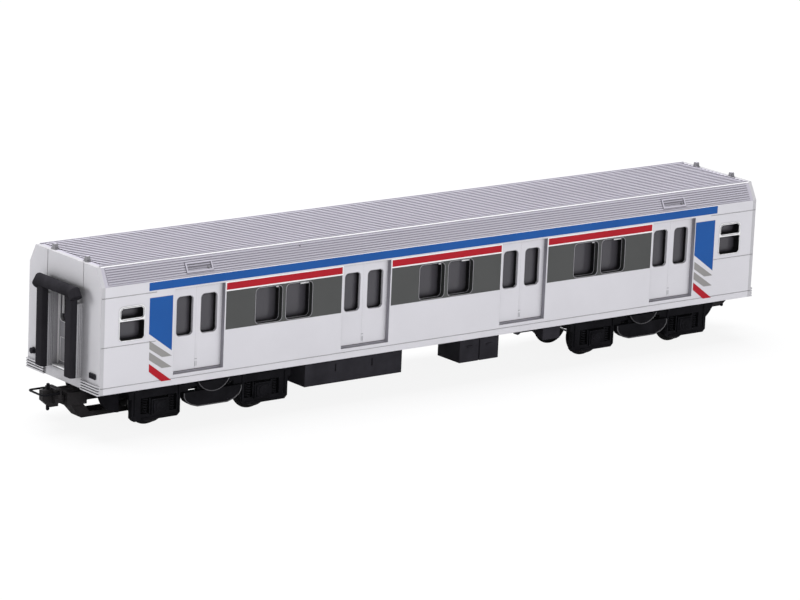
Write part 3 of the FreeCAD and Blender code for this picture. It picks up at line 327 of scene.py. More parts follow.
# Black lightened as painted highlight along the lips of the boats and the rims of the bowls.
LIP_HIGHLIGHT = finish("black_edge_highlight", (0.06, 0.058, 0.064), 0.35, vary=0.25, blotch=3.0, grain=0.18,
             depth=0.003, specular=0.5)
BOX_BLACK = finish("box_plastic", (0.026, 0.025, 0.030), 0.48, vary=0.2, blotch=6.0, grain=0.2,
                   depth=0.004, specular=0.02)
COUPLER_BLACK = finish("coupler_plastic", (0.018, 0.0165, 0.0175), 0.45, vary=0.25, blotch=2.0,
                       grain=0.15, depth=0.003, specular=0.1)
RUBBER = finish("rubber", (0.021, 0.020, 0.0235), 0.6, vary=0.2, blotch=3.0, grain=0.3, depth=0.006,
                stretch=(1, 1, 4), edge=0.3, specular=0.012)
# Black standing in for shade: window liners, spring backs, step gaps and the line under the sill.
SHADE_BLACK = finish("black_painted_shade", (0.005, 0.005, 0.006), 0.6, vary=0.2, blotch=2.0, grain=0.2,
              depth=0.002, edge=0.0, specular=0.2)
# Smoked glass, darkened towards the edges of each pane as painted shade.
GLASS = finish("smoked_glass", (0.058, 0.055, 0.064), 0.2, vary=0.05, blotch=9.0, grain=1.5,
               depth=0.001, edge=0.0, coat=0.15, painted_shade_reach=1.5, darkest=0.12)
STEEL = finish("bright_steel", (0.42, 0.42, 0.43), 0.3, metallic=1.0, vary=0.08, blotch=2.0,
               grain=0.08, depth=0.002, edge=0.05)
DARK_STEEL = finish("blackened_steel", (0.035, 0.035, 0.037), 0.35, metallic=0.8, vary=0.2,
                    blotch=2.0, grain=0.1, depth=0.003, edge=0.05)
BALLAST = finish("ballast_steel", (0.2, 0.2, 0.21), 0.5, metallic=0.9, vary=0.15, blotch=5.0,
                 grain=0.3, depth=0.006, edge=0.1)

SLOT_FINISH = {
    "body_silver": SILVER,
    "end_grey": END_SILVER_SHADED,
    "roof_grey": ROOF,
    "frame_silver": FRAME_SILVER,
    "glazing": GLASS,
    "gangway_black": RUBBER,
    "underframe_black": BOX_BLACK,
    "ballast_steel": BALLAST,
    "bogie_black": BLACK,
    "coupler_black": COUPLER_BLACK,
    "pin_steel": DARK_STEEL,
    "wheel_metal": DARK_STEEL,
    "axle_steel": STEEL,
}


def dress_nodes():
    """Gives each CAD node the finish of its slot, which its first material is named after."""
    for node in nodes.values():
        materials = node.data.materials
        dressed = SLOT_FINISH[materials[0].name]
        materials.clear()
        materials.append(dressed)


# Places: each takes a drawing (across, up, outwards) to a face of the car

LEFT = Matrix.Rotation(math.radians(90), 4, "X")
STAY = Matrix.Identity(4)
TURN = Matrix.Rotation(math.radians(180), 4, "Z")
END_A = Matrix(((0, 0, -1, 0), (-1, 0, 0, 0), (0, 1, 0, 0), (0, 0, 0, 1)))
UP_SLOPE = Matrix(((1, 0, 0, 0), (0, ROOF_RUN / SLOPE, -ROOF_RISE / SLOPE, 0),
                   (0, ROOF_RISE / SLOPE, ROOF_RUN / SLOPE, 0), (0, 0, 0, 1)))
SIDE_PLACE = Matrix.Translation((0, -SIDE * MM, 0)) @ LEFT
END_PLACE = Matrix.Translation((-BODY_END * MM, 0, 0)) @ END_A
SLOPE_PLACE = Matrix.Translation((0, -SIDE * MM, CANTRAIL * MM)) @ UP_SLOPE


def add_piece(name, mesh, material, body="car"):
    piece = bpy.data.objects.new(name, mesh)
    bpy.context.scene.collection.objects.link(piece)
    mesh.materials.clear()
    mesh.materials.append(material)
    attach(piece, body)
    return piece


def set_to(mesh, place):
    mesh.transform(place)
    return mesh


def on_both(place, marks, name, make, material):
    """A piece at a place and the same one, half turned about the car's middle, opposite it."""
    return [add_piece("%s_%s" % (name, mark), set_to(make(), turn @ place), material)
            for mark, turn in zip(marks, (STAY, TURN))]


def on_both_sides(name, make, material):
    return on_both(SIDE_PLACE, ("left", "right"), name, make, material)


def on_both_ends(name, make, material):
    return on_both(END_PLACE, ("a", "b"), name, make, material)


def on_both_slopes(name, make, material):
    return on_both(SLOPE_PLACE, ("left", "right"), name, make, material)


def on_bogies(name, make, material):
    """A piece on both side frames of each bogie, drawn from the bogie's centre."""
    pieces = []
    for mark, centre in BOGIES:
        middle = Matrix.Translation((centre * MM, 0, 0))
        mesh = joined([set_to(make(), middle @ turn @ LEFT) for turn in (STAY, TURN)])
        pieces.append(add_piece("%s_%s" % (name, mark), mesh, material, "bogie_" + mark))
    return pieces


# Shapes

SOFT_ANGLE = math.radians(35)
WELD = 1e-7  # metres
DOME = ((1, 0), (1, 0.5), (0.75, 0.85), (0.35, 1), (0, 1))  # shares of radius and height
DOME_STEPS = 12
ROUND_STEPS = 32


def corner_arc(x, y, radius, start):
    """A quarter circle about a corner's centre, from this angle on."""
    return [(x + radius * math.cos(start + math.pi / 2 * step / ARC_STEPS),
             y + radius * math.sin(start + math.pi / 2 * step / ARC_STEPS))
            for step in range(ARC_STEPS + 1)]


def rounded_box(left, right, low, high, radius=0.0):
    """Corners of a rectangle with rounded corners, anticlockwise."""
    if not radius:
        return [(left, low), (right, low), (right, high), (left, high)]
    return (corner_arc(right - radius, low + radius, radius, -math.pi / 2)
            + corner_arc(right - radius, high - radius, radius, 0)
            + corner_arc(left + radius, high - radius, radius, math.pi / 2)
            + corner_arc(left + radius, low + radius, radius, math.pi))


def as_mesh(curve):
    """The mesh of a curve, which is removed."""
    carrier = bpy.data.objects.new(curve.name, curve)
    mesh = bpy.data.meshes.new_from_object(carrier)
    bpy.data.objects.remove(carrier)
    bpy.data.curves.remove(curve)
    return mesh


def drawn(name, loops, low, high):
    """Plates between two heights, from closed outlines in millimetres; inner outlines are holes."""
    curve = bpy.data.curves.new(name, "CURVE")
    curve.dimensions = "2D"
    curve.fill_mode = "BOTH"
    curve.extrude = (high - low) / 2 * MM
    for loop in loops:
        spline = curve.splines.new("POLY")
        spline.points.add(len(loop) - 1)
        for point, (x, y) in zip(spline.points, loop):
            point.co = (x * MM, y * MM, 0, 1)
        spline.use_cyclic_u = True
    mesh = as_mesh(curve)
    mesh.transform(Matrix.Translation((0, 0, (high + low) / 2 * MM)))
    return mesh


def wire(name, points, radius, closed=False):
    """A round wire along a line of points in millimetres."""
    curve = bpy.data.curves.new(name, "CURVE")
    curve.dimensions = "3D"
    curve.bevel_depth = radius * MM
    curve.bevel_resolution = 2
    curve.use_fill_caps = True
    spline = curve.splines.new("POLY")
    spline.points.add(len(points) - 1)
    for point, place in zip(spline.points, points):
        point.co = (*[part * MM for part in place], 1)
    spline.use_cyclic_u = closed
    return smoothed(as_mesh(curve))


def smoothed(mesh):
    """Soft shading over the gentle edges of a mesh."""
    mesh.shade_smooth()
    mesh.set_sharp_from_angle(angle=SOFT_ANGLE)
    return mesh


def lathed(name, profile, steps):
    """A shape turned about its third axis, from (radius, height) pairs in millimetres."""
    points = []
    faces = []
    rows = len(profile)
    for step in range(steps):
        angle = 2 * math.pi * step / steps
        across, along = math.cos(angle) * MM, math.sin(angle) * MM
        points += [(radius * across, radius * along, height * MM) for radius, height in profile]
        start = step * rows
        after = (step + 1) % steps * rows
        faces += [(start + row, after + row, after + row + 1, start + row + 1)
                  for row in range(rows - 1)]
    mesh = bpy.data.meshes.new(name)
    mesh.from_pydata(points, [], faces)
    whole = bmesh.new()
    whole.from_mesh(mesh)
    bmesh.ops.remove_doubles(whole, verts=whole.verts, dist=WELD)
    bmesh.ops.recalc_face_normals(whole, faces=whole.faces)
    whole.to_mesh(mesh)
    whole.free()
    return smoothed(mesh)


def joined(meshes):
    """One mesh of several."""
    whole = bmesh.new()
    for mesh in meshes:
        whole.from_mesh(mesh)
        bpy.data.meshes.remove(mesh)
    out = bpy.data.meshes.new("joined")
    whole.to_mesh(out)
    whole.free()
    return out


def moved(mesh, x, y, z=0.0):
    return set_to(mesh, Matrix.Translation((x * MM, y * MM, z * MM)))


def plates(name, boxes, low, high):
    """Square-cornered plates from (left, right, low, high) rows."""
    return drawn(name, [rounded_box(*box) for box in boxes], low, high)


def dome_bolt(radius, height):
    return lathed("bolt", [(radius * across, height * up) for across, up in DOME], DOME_STEPS)


# Livery

def panel_centres():
    return (-PANEL_SPACING, 0.0, PANEL_SPACING)


def saloon_windows(centre):
    """Left and right edges of the two windows in one panel."""
    middle = centre - WINDOW_SHIFT
    return ((middle - WINDOW_PILLAR / 2 - WINDOW_WIDTH, middle - WINDOW_PILLAR / 2),
            (middle + WINDOW_PILLAR / 2, middle + WINDOW_PILLAR / 2 + WINDOW_WIDTH))


def band():
    return plates("band", [(-BAND_REACH, BAND_REACH, BAND_LOW, BAND_HIGH)], 0, INK)


def stripe_edges():
    """White fields that show as lines over and beside the red stripes."""
    half = PANEL_LENGTH / 2 + STRIPE_EDGE
    top = STRIPE_HIGH + STRIPE_EDGE
    return plates("stripe_edges", [(centre - half, centre + half, PANEL_HIGH, top)
                                   for centre in panel_centres()], 0, INK)


def stripes():
    half = PANEL_LENGTH / 2
    return plates("stripes", [(centre - half, centre + half, STRIPE_LOW, STRIPE_HIGH)
                              for centre in panel_centres()], INK, 2 * INK)


def window_panels():
    """The grey fields, with the windows as holes in them."""
    half = PANEL_LENGTH / 2
    loops = []
    for centre in panel_centres():
        loops.append(rounded_box(centre - half, centre + half, PANEL_LOW, PANEL_HIGH))
        for left, right in saloon_windows(centre):
            loops.append(rounded_box(left, right, WINDOW_LOW, WINDOW_HIGH, WINDOW_ROUND))
    return drawn("window_panels", loops, 0, INK)


def crests():
    """The slanted blue fields by both ends, left plain."""
    loops = []
    for shift in (0.0, CREST_SHIFT):
        loops.append([(CREST_START + shift, CREST_OUTER_LOW), (CREST_END + shift, CREST_INNER_LOW),
                      (CREST_END + shift, CREST_TOP), (CREST_START + shift, CREST_TOP)])
    return drawn("crests", loops, 0, INK)


def chevron(shift, high, drop):
    """One slanted bar: from its upper left corner down to a level point."""
    return [(CHEVRON_START + shift, high), (CHEVRON_START + shift, high - CHEVRON_DEPTH),
            (CHEVRON_BEND + shift, high - drop), (CHEVRON_END + shift, high - drop)]


def grey_chevrons():
    return drawn("grey_chevrons", [chevron(shift, high, GREY_CHEVRON_DROP)
                                   for shift in (0.0, CREST_SHIFT)
                                   for high in GREY_CHEVRONS], 0, INK)


def red_chevrons():
    return drawn("red_chevrons", [chevron(shift, RED_CHEVRON, RED_CHEVRON_DROP)
                                  for shift in (0.0, CREST_SHIFT)], 0, INK)


def cantrail_highlights():
    """Painted highlight: the fine light line above the blue band."""
    top = BAND_HIGH + CANTRAIL_HIGHLIGHT
    return plates("cantrail_highlights", [(-BAND_REACH, BAND_REACH, BAND_HIGH, top)], 0, FINE)


def livery():
    on_both_sides("blue_band", band, BLUE)
    on_both_sides("cantrail_highlight", cantrail_highlights, WHITE)
    on_both_sides("stripe_edges", stripe_edges, WHITE)
    on_both_sides("red_stripes", stripes, RED)
    on_both_sides("window_panels", window_panels, PANEL)
    on_both_sides("blue_fields", crests, BLUE)
    on_both_sides("grey_chevrons", grey_chevrons, CHEVRON)
    on_both_sides("red_chevrons", red_chevrons, RED)


# Windows: reveals in the wall, fine rims partly lit as painted highlight, black liners of painted
# shade behind it, painted highlights, and the glass

def ring(window, outer, inner, low, high):
    """A frame that reaches this far out of and into a window (left, right, low, high, corner)."""
    left, right, bottom, top, radius = window
    edge = rounded_box(left - outer, right + outer, bottom - outer, top + outer,
                       radius + outer if radius else 0.0)
    hole = rounded_box(left + inner, right - inner, bottom + inner, top - inner,
                       max(radius - inner, 0.0))
    return drawn("ring", [edge, hole], low, high)


def all_saloon_windows():
    return [(left, right, WINDOW_LOW, WINDOW_HIGH, WINDOW_ROUND)
            for centre in panel_centres() for left, right in saloon_windows(centre)]


def door_middles():
    return [hand * share * OUTER_DOOR for hand in (-1, 1) for share in (1, 1 / 3)]


def windows_at(middles, half, low, high, corner):
    """Windows of this half width, these edges and this corner about each middle."""
    return [(middle - half, middle + half, low, high, corner) for middle in middles]


def leaf_windows():
    return windows_at([door + leaf * LEAF_WINDOW for door in door_middles() for leaf in (-1, 1)],
                      LEAF_WINDOW_WIDTH / 2, LEAF_WINDOW_LOW, LEAF_WINDOW_HIGH, LEAF_WINDOW_ROUND)


def upper_sashes():
    return windows_at((-END_WINDOW, END_WINDOW), SASH_HALF, TRANSOM + TRANSOM_DEPTH / 2,
                      END_WINDOW_HIGH - FRAME_WIDTH, SASH_ROUND)


def lower_sashes():
    return windows_at((-END_WINDOW, END_WINDOW), LOWER_SASH_HALF, END_WINDOW_LOW + FRAME_EDGE,
                      TRANSOM - TRANSOM_DEPTH / 2, SASH_ROUND)


def rings(openings, outer, inner, low, high):
    return [ring(window, outer, inner, low, high) for window in openings]


def reveals():
    return joined(rings(all_saloon_windows(), RIM, REVEAL_PROUD, -WALL, 0))


# Pale rims at the opening edges, partly bare edge and partly painted highlight.
def outer_rims():
    return joined(rings(all_saloon_windows(), RIM, 0.0, 0, 2 * INK)
                  + rings(leaf_windows(), RIM, 0.0, -WALL, -WALL + FINE))


def inner_rims():
    return joined(rings(all_saloon_windows(), 0.0, RIM, -WALL - RIM_DEPTH, -WALL))


def glazing_glints():
    """Painted highlights where the glazing catches the light, at the upper right of each saloon
    window.
    """
    high = WINDOW_HIGH - GLINT_TOP
    boxes = []
    for centre in panel_centres():
        for (_, right), length in zip(saloon_windows(centre), GLINT_LENGTHS):
            boxes.append((right - length, right - GLINT_END, high - GLINT_HEIGHT, high))
    return plates("glazing_glints", boxes, -WALL - PANE, -WALL - RIM_DEPTH)


def liners():
    """Black rings of painted shade, from behind the wall, the leaves or the sashes to the glass."""
    return joined(rings(all_saloon_windows(), LINER_LAP, LINER, -GLASS_DEPTH, -WALL - RIM_DEPTH)
                  + rings(leaf_windows(), LINER_LAP, LINER, -GLASS_DEPTH, -WALL - LEAF_DEPTH)
                  + rings(upper_sashes() + lower_sashes(), LINER_LAP, SASH_LINER, -SASH_GLASS_DEPTH,
                          -SASH_LINER_DEPTH))


def panes():
    rows = [(all_saloon_windows() + leaf_windows(), GLASS_DEPTH),
            (upper_sashes() + lower_sashes(), SASH_GLASS_DEPTH)]
    return joined([drawn("pane", [rounded_box(*window)], -depth - PANE, -depth)
                   for openings, depth in rows for window in openings])


def sash_lines():
    """The dark line within the frame round each upper sash."""
    return joined(rings(upper_sashes(), SASH_LINE_OUT, -SASH_LINE_IN, 0, FRAME_PROUD + FINE / 2))


def windows():
    on_both_sides("window_reveals", reveals, REVEAL)
    on_both_sides("window_outer_rims", outer_rims, RIM_EDGE_AND_HIGHLIGHT)
    on_both_sides("window_inner_rims", inner_rims, RIM_EDGE_AND_HIGHLIGHT)
    on_both_sides("window_liners", liners, SHADE_BLACK)
    on_both_sides("glazing_glints", glazing_glints, WHITE)
    on_both_sides("sash_lines", sash_lines, LINE)
    pieces = on_both_sides("window_panes", panes, GLASS)
    for hand, piece in zip(("left", "right"), pieces):
        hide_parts("glazing_" + hand)


# Doors: painted shade on the sill strip, the dark edge lines and the jambs, and the joint of the
# leaves with its marks

STRIP_TOP = DOOR_BOTTOM + 0.35
STRIP_PROUD = 0.15
LINE_WIDTH = 0.12
LEAF_FOOT = DOOR_BOTTOM + 0.5
COVER_HALF = 0.3
COVER_TOP = DOOR_TOP - 0.1
MARK_PLACE = 0.22
MARK_HALF = 0.06
MARK_ENDS = (17.4, 18.7)
BAR_HALF = 0.35
BAR_ENDS = (19.3, 19.45)


def door_edges():
    """Left and right edges of each door opening."""
    return [(middle - DOOR_WIDTH / 2, middle + DOOR_WIDTH / 2) for middle in door_middles()]


# Painted shade: a lilac-grey strip along the sill of each door opening.
def door_sill_shades():
    return plates("door_sill_shades", [(*edges, DOOR_BOTTOM, STRIP_TOP) for edges in door_edges()],
                  -WALL, -WALL + STRIP_PROUD)


def door_shadow_lines():
    """Painted shadow: dark lines over the sill strip and down the left edge of each door."""
    boxes = []
    for left, right in door_edges():
        boxes.append((left, right, STRIP_TOP, STRIP_TOP + LINE_WIDTH))
        boxes.append((left, left + LINE_WIDTH, LEAF_FOOT, DOOR_TOP))
    return plates("door_shadow_lines", boxes, -WALL, -WALL + LINE_WIDTH)


def door_jamb_shades():
    """Painted shade in lilac-grey round the inside of each door opening."""
    openings = [(*edges, DOOR_BOTTOM, DOOR_TOP, 0.0) for edges in door_edges()]
    return joined(rings(openings, 0.0, FINE, -WALL, -FINE))


def door_covers():
    """The flat strips over the joints between the leaves."""
    return plates("door_covers", [(middle - COVER_HALF, middle + COVER_HALF, LEAF_FOOT, COVER_TOP)
                                  for middle in door_middles()], -WALL, -WALL + FINE)


def door_marks():
    """Two short upright marks and a bar over them, low on the joint between the leaves."""
    boxes = []
    for middle in door_middles():
        for mark in (middle - MARK_PLACE, middle + MARK_PLACE):
            boxes.append((mark - MARK_HALF, mark + MARK_HALF, *MARK_ENDS))
        boxes.append((middle - BAR_HALF, middle + BAR_HALF, *BAR_ENDS))
    return plates("door_marks", boxes, -WALL + FINE, -WALL + MARK_HALF)


def doors():
    on_both_sides("door_sill_shades", door_sill_shades, JAMB)
    on_both_sides("door_shadow_lines", door_shadow_lines, LINE)
    on_both_sides("door_covers", door_covers, SILVER)
    on_both_sides("door_jamb_shades", door_jamb_shades, JAMB)
    on_both_sides("door_marks", door_marks, JAMB)


# Roof: ribs with painted shade, edges with painted highlight, lug sleeves, and the vents' lines of
# painted shade and catches

RIBS = 17
RIB_PITCH = 1.667
RIB_WIDTH = 0.8
RIB_REACH = BODY_END - 2.3
RIB_SHADE_HALF = 0.012
ROOF_TOP = CANTRAIL + ROOF_RISE
RIB_SHADE_ENDS = (ROOF_TOP + 0.02, ROOF_TOP + 0.26)
ROOF_EDGE_HIGHLIGHT = (SLOPE - 0.34, SLOPE - 0.03)
LUG_PLACE = BODY_END - 1.7
LUG_SPACING = 8.0
SLEEVE = ((-0.85, 48.5), (0.85, 48.5), (0.52, 49.88), (-0.52, 49.88))
SLEEVE_HALF = 0.55
SLEEVE_FOOT = (-1.0, 1.0, 48.45, 48.7)
SLEEVE_FOOT_HALF = 0.7
SLOPE_RIBS = 7
SLOPE_RIB_EDGE = 0.9
SLOPE_LINE = 0.06
SLOPE_LINE_DROP = 0.28
SLOPE_EDGE_LINES = [0.12, SLOPE - 0.5]
DOT_PLACE = (-50.8, 0.75 * SLOPE)
DOT_SIZE = (0.28, 0.2)
VENT_HALF = 4.4
VENT_LOW = 1.0
VENT_HIGH = 3.9
VENT_LINES = ((0.12, 0.0), (-0.45, 0.57))  # out of and into a vent's edge
VENT_LINE_PROUD = 0.2
VENT_BAR_HALF = 0.1
VENT_BAR_END = 0.5
VENT_BAR_PROUD = 0.3
CATCH_PLACE = 3.0
CATCH_HEIGHT = VENT_LOW + 0.9
CATCH_SIZE = (0.35, 0.45)


def vent_middles():
    return (-OUTER_DOOR, OUTER_DOOR)


def rib_shades():
    """Painted shade on both flanks of each rib along the roof."""
    strip = (-RIB_REACH, RIB_REACH, *RIB_SHADE_ENDS)
    meshes = []
    for number in range(RIBS):
        across = (number - (RIBS - 1) / 2) * RIB_PITCH
        for hand in (-1, 1):
            face = across + hand * RIB_WIDTH / 2
            meshes.append(plates("shade", [strip], face - RIB_SHADE_HALF, face + RIB_SHADE_HALF))
    return joined(meshes)


def lug_sleeves():
    """Tapered sleeves round the lifting lugs, with their feet."""
    meshes = []
    for end in (-LUG_PLACE, LUG_PLACE):
        for across in (-LUG_SPACING, LUG_SPACING):
            sleeve = joined([drawn("sleeve", [SLEEVE], -SLEEVE_HALF, SLEEVE_HALF),
                             plates("foot", [SLEEVE_FOOT], -SLEEVE_FOOT_HALF, SLEEVE_FOOT_HALF)])
            meshes.append(moved(set_to(sleeve, END_A), end, across))
    return joined(meshes)


# Painted highlight: a bright line along the upper edge of each slope.
def roof_edge_highlights():
    return plates("roof_edge_highlights", [(-ROOF_END, ROOF_END, *ROOF_EDGE_HIGHLIGHT)], 0, SLOPE_LINE)


def slope_shades():
    """Painted shade: dark lines under the fine ribs of a slope, and one along each of its edges."""
    pitch = (SLOPE - 2 * SLOPE_RIB_EDGE) / (SLOPE_RIBS - 1)
    rows = [SLOPE_RIB_EDGE - SLOPE_LINE_DROP + number * pitch for number in range(SLOPE_RIBS)]
    return plates("slope_shades", [(-RIB_REACH, RIB_REACH, low, low + SLOPE_LINE)
                                   for low in rows + SLOPE_EDGE_LINES], 0, FINE)


def vent_shade_lines():
    """Painted shade: the dark line round each vent, the one within its frame and the bar across it.
    """
    height = (VENT_LOW + VENT_HIGH) / 2
    bar = VENT_HALF - VENT_BAR_END
    meshes = []
    for middle in vent_middles():
        window = (middle - VENT_HALF, middle + VENT_HALF, VENT_LOW, VENT_HIGH, 0.0)
        meshes += [ring(window, outer, inner, 0, VENT_LINE_PROUD) for outer, inner in VENT_LINES]
        meshes.append(plates("bar", [(middle - bar, middle + bar, height - VENT_BAR_HALF,
                                      height + VENT_BAR_HALF)], 0, VENT_BAR_PROUD))
    return joined(meshes)


def slope_dots():
    return moved(dome_bolt(*DOT_SIZE), *DOT_PLACE)


def vent_catches():
    return joined([moved(dome_bolt(*CATCH_SIZE), middle + CATCH_PLACE, CATCH_HEIGHT)
                   for middle in vent_middles()])


def roof_details():
    add_piece("rib_shades", set_to(rib_shades(), LEFT), RIB_SHADE)
    add_piece("lug_sleeves", lug_sleeves(), LUG)
    on_both_slopes("slope_shades", slope_shades, RIB_SHADE)
    on_both_slopes("roof_edge", roof_edge_highlights, EDGE_HIGHLIGHT)
    on_both_slopes("vent_shade_lines", vent_shade_lines, RIB_SHADE)
    on_both_slopes("vent_catches", vent_catches, LUG)
    on_both_slopes("slope_dots", slope_dots, LINE)


# Ends, drawn with the far side of end a to the left

MOULDINGS = (4.78, 5.12)
MOULDING_HALF = 0.08
MOULDING_ENDS = (17.1, 39.3)
MOULDING_PROUD = 0.25
DOOR_WINDOW = (-4.3, 4.3, 29.3, 37.5, 0.9)
DOOR_WINDOW_RIM = 0.18
DOOR_WINDOW_PROUD = 0.15
KICK_PANEL = (-4.1, 4.1, 18.0, 24.8, 0.4)
KICK_PANEL_RIM = 0.16
KICK_PANEL_PROUD = 0.12
GLAZING_BARS = ((-3.6, -3.1, 31.4, 37.3), (3.1, 3.6, 31.4, 37.3))
GLAZING_BAR_DEPTHS = (0.5, 0.1)
END_SILL = (-5.2, 5.2, 16.62, 17.05)
SILL_PROUD = 0.3
SILL_LINE = (-5.2, 5.2, 16.3, 16.45)
STEP_EDGE = SIDE - 0.05
GAP_EDGE = 0.02
SOCKET = (13.2, 16.1, 17.45, 18.95, 0.2)
SOCKET_WALL = 0.3
SOCKET_PROUD = 0.4
SOCKET_FLOOR = (13.4, 15.9, 17.65, 18.75)
SOCKET_FLOOR_TOP = 0.1
SOCKET_BAR = (13.5, 15.8, 18.1, 18.3)
SOCKET_BAR_TOP = 0.3
SCREW_SIZE = (0.15, 0.2)
SCREW_PLACE = (14.65, 17.9)
KNOB = (-14.9, 18.5)
KNOB_PROFILE = ((0.95, 0.0), (0.95, 0.15), (0.55, 0.2), (0.5, 0.6), (0.85, 0.7), (0.85, 1.0),
                (0.6, 1.15), (0.0, 1.15))


def door_frames():
    """Mouldings by the end door's edges, rims of its window and kick panel, its glazing bars."""
    face = -DOOR_FACE
    boxes = [(hand * place - MOULDING_HALF, hand * place + MOULDING_HALF, *MOULDING_ENDS)
             for hand in (-1, 1) for place in MOULDINGS]
    return joined([plates("mouldings", boxes, face, face + MOULDING_PROUD),
                   ring(DOOR_WINDOW, DOOR_WINDOW_RIM, 0.0, face, face + DOOR_WINDOW_PROUD),
                   ring(KICK_PANEL, 0.0, KICK_PANEL_RIM, face, face + KICK_PANEL_PROUD),
                   plates("glazing_bars", GLAZING_BARS,
                          *[face - depth for depth in GLAZING_BAR_DEPTHS])])


def sills():
    return plates("sills", [END_SILL], -DOOR_FACE, SILL_PROUD)


def end_shade_lines():
    """Painted shade: the dark gaps between the step slats and the shadow line under the sill."""
    gap = (STEP_HIGH - STEP_LOW - SLAT_DEPTH) / (SLATS - 1)
    boxes = []
    for number in range(SLATS - 1):
        low = STEP_LOW + number * gap + SLAT_DEPTH
        for left, right in ((-STEP_EDGE, -STEP_START), (STEP_START, STEP_EDGE)):
            boxes.append((left, right, low + GAP_EDGE, low + gap - SLAT_DEPTH - GAP_EDGE))
    return joined([plates("step_gaps", boxes, STEP_BACK, STEP_BACK + FINE),
                   plates("sill_line", [SILL_LINE], 0, FINE)])


def sockets():
    """An open box with a floor, a bar across it and a small screw in it."""
    return joined([ring(SOCKET, 0.0, SOCKET_WALL, 0, SOCKET_PROUD),
                   plates("socket_floor", [SOCKET_FLOOR], 0, SOCKET_FLOOR_TOP),
                   plates("socket_bar", [SOCKET_BAR], SOCKET_FLOOR_TOP, SOCKET_BAR_TOP),
                   moved(dome_bolt(*SCREW_SIZE), *SCREW_PLACE, SOCKET_FLOOR_TOP)])


def knobs():
    return moved(lathed("knob", KNOB_PROFILE, ROUND_STEPS), *KNOB)


def ends():
    on_both_ends("end_door_frames", door_frames, WHITE)
    on_both_ends("end_sills", sills, FRAME_SILVER)
    on_both_ends("end_shade_lines", end_shade_lines, SHADE_BLACK)
    on_both_ends("sockets", sockets, BOX_BLACK)
    on_both_ends("knobs", knobs, BOX_BLACK)


# Bogies: wound springs with painted shade behind them, horn columns, axlebox lids, the lips of the
# boats and their bowls lightened as painted highlight

COIL_TURNS = 5.5
COIL_STEPS = 77
COIL_RADIUS = 0.82
COIL_WIRE = 0.23
COIL_END = 0.25
COLUMN_IN = PEDESTAL_IN - 0.5
COLUMN_OUT = PEDESTAL_OUT - 1.0
COLUMN_HALF = 0.22
COLUMN_PROUD = 0.3
INNER_COLUMN = (4.2, 11.6)
OUTER_COLUMN = (4.6, 11.2)
TIES = ((-3.3, -2.9, 4.9, 9.3), (2.9, 3.3, 4.9, 9.3), (-5.6, 5.6, 3.5, 3.8))
BACK_HALF = 6.0
BACK_ENDS = (4.8, 9.5)
BACK_DEPTHS = (1.6, 1.4)
COVER_HEIGHT = 6.65
COVER_PROUD = 0.95
COVER_PROFILE = ((1.5, 0.0), (1.5, 0.14), (1.25, 0.22), (0.6, 0.22), (0.5, 0.32), (0.0, 0.32))
BOLTS = ((-1.75, 5.3), (-1.75, 8.0), (1.75, 5.3), (1.75, 8.0))
BOLT_SIZE = (0.24, 0.2)
BOAT_CURVE = ((0.5, 0.95), (0.5, 0.68), (0.46, 0.39), (0.38, 0.16), (0.26, 0.0))
INSET = 0.985  # share of the edge's size at which the beads of the lips and rims run
LIP_WIRE = 0.2
LIP_RISE = 0.12
RIM_WIRE = 0.16
RIM_SINK = 0.05
RIM_STEPS = 16


def coil(place):
    """A wound spring that stands on this place of a bogie's drawing."""
    rise = SPRING_HIGH - SPRING_LOW - 2 * COIL_END
    points = []
    for step in range(COIL_STEPS + 1):
        angle = 2 * math.pi * COIL_TURNS * step / COIL_STEPS
        points.append((place + COIL_RADIUS * math.cos(angle),
                       SPRING_LOW + COIL_END + rise * step / COIL_STEPS,
                       SPRING_LINE + COIL_RADIUS * math.sin(angle)))
    return wire("coil", points, COIL_WIRE)


def coils():
    return joined([coil(axle + hand * SPRING_PLACE) for axle in AXLES for hand in (-1, 1)])


def pedestal_columns():
    """Raised ribs down the horn columns and along the ties."""
    boxes = []
    for axle in AXLES:
        hand = math.copysign(1, axle)
        inner = axle - hand * COLUMN_IN
        outer = axle + hand * COLUMN_OUT
        boxes.append((inner - COLUMN_HALF, inner + COLUMN_HALF, *INNER_COLUMN))
        boxes.append((outer - COLUMN_HALF, outer + COLUMN_HALF, *OUTER_COLUMN))
        boxes += [(axle + left, axle + right, low, high) for left, right, low, high in TIES]
    return plates("pedestal_columns", boxes, FRAME_FACE - COLUMN_PROUD, FRAME_FACE + COLUMN_PROUD)


def spring_shade_backs():
    """Black plates of painted shade behind the springs, which close the windows of the pedestals.
    """
    return plates("spring_shade_backs", [(axle - BACK_HALF, axle + BACK_HALF, *BACK_ENDS)
                                   for axle in AXLES],
                  *[FRAME_FACE - depth for depth in BACK_DEPTHS])


def axle_covers():
    """A round cover and four bolts on each axlebox lid."""
    face = FRAME_FACE + COVER_PROUD
    meshes = []
    for axle in AXLES:
        meshes.append(moved(lathed("cover", COVER_PROFILE, ROUND_STEPS), axle, COVER_HEIGHT, face))
        meshes += [moved(dome_bolt(*BOLT_SIZE), axle + across, up, face) for across, up in BOLTS]
    return joined(meshes)


def boat_edge():
    """The lower edge of a boat, from its right end round to its left."""
    rise = BEAM_LOW - BOAT_LOW
    line = [(across * BOAT_WIDTH, BOAT_LOW + up * rise) for across, up in BOAT_CURVE]
    return line + [(-across, up) for across, up in reversed(line)]


def boat_lips():
    points = [(across * INSET, up + LIP_RISE, BOAT_FACE) for across, up in boat_edge()]
    return wire("boat_lip", points, LIP_WIRE)


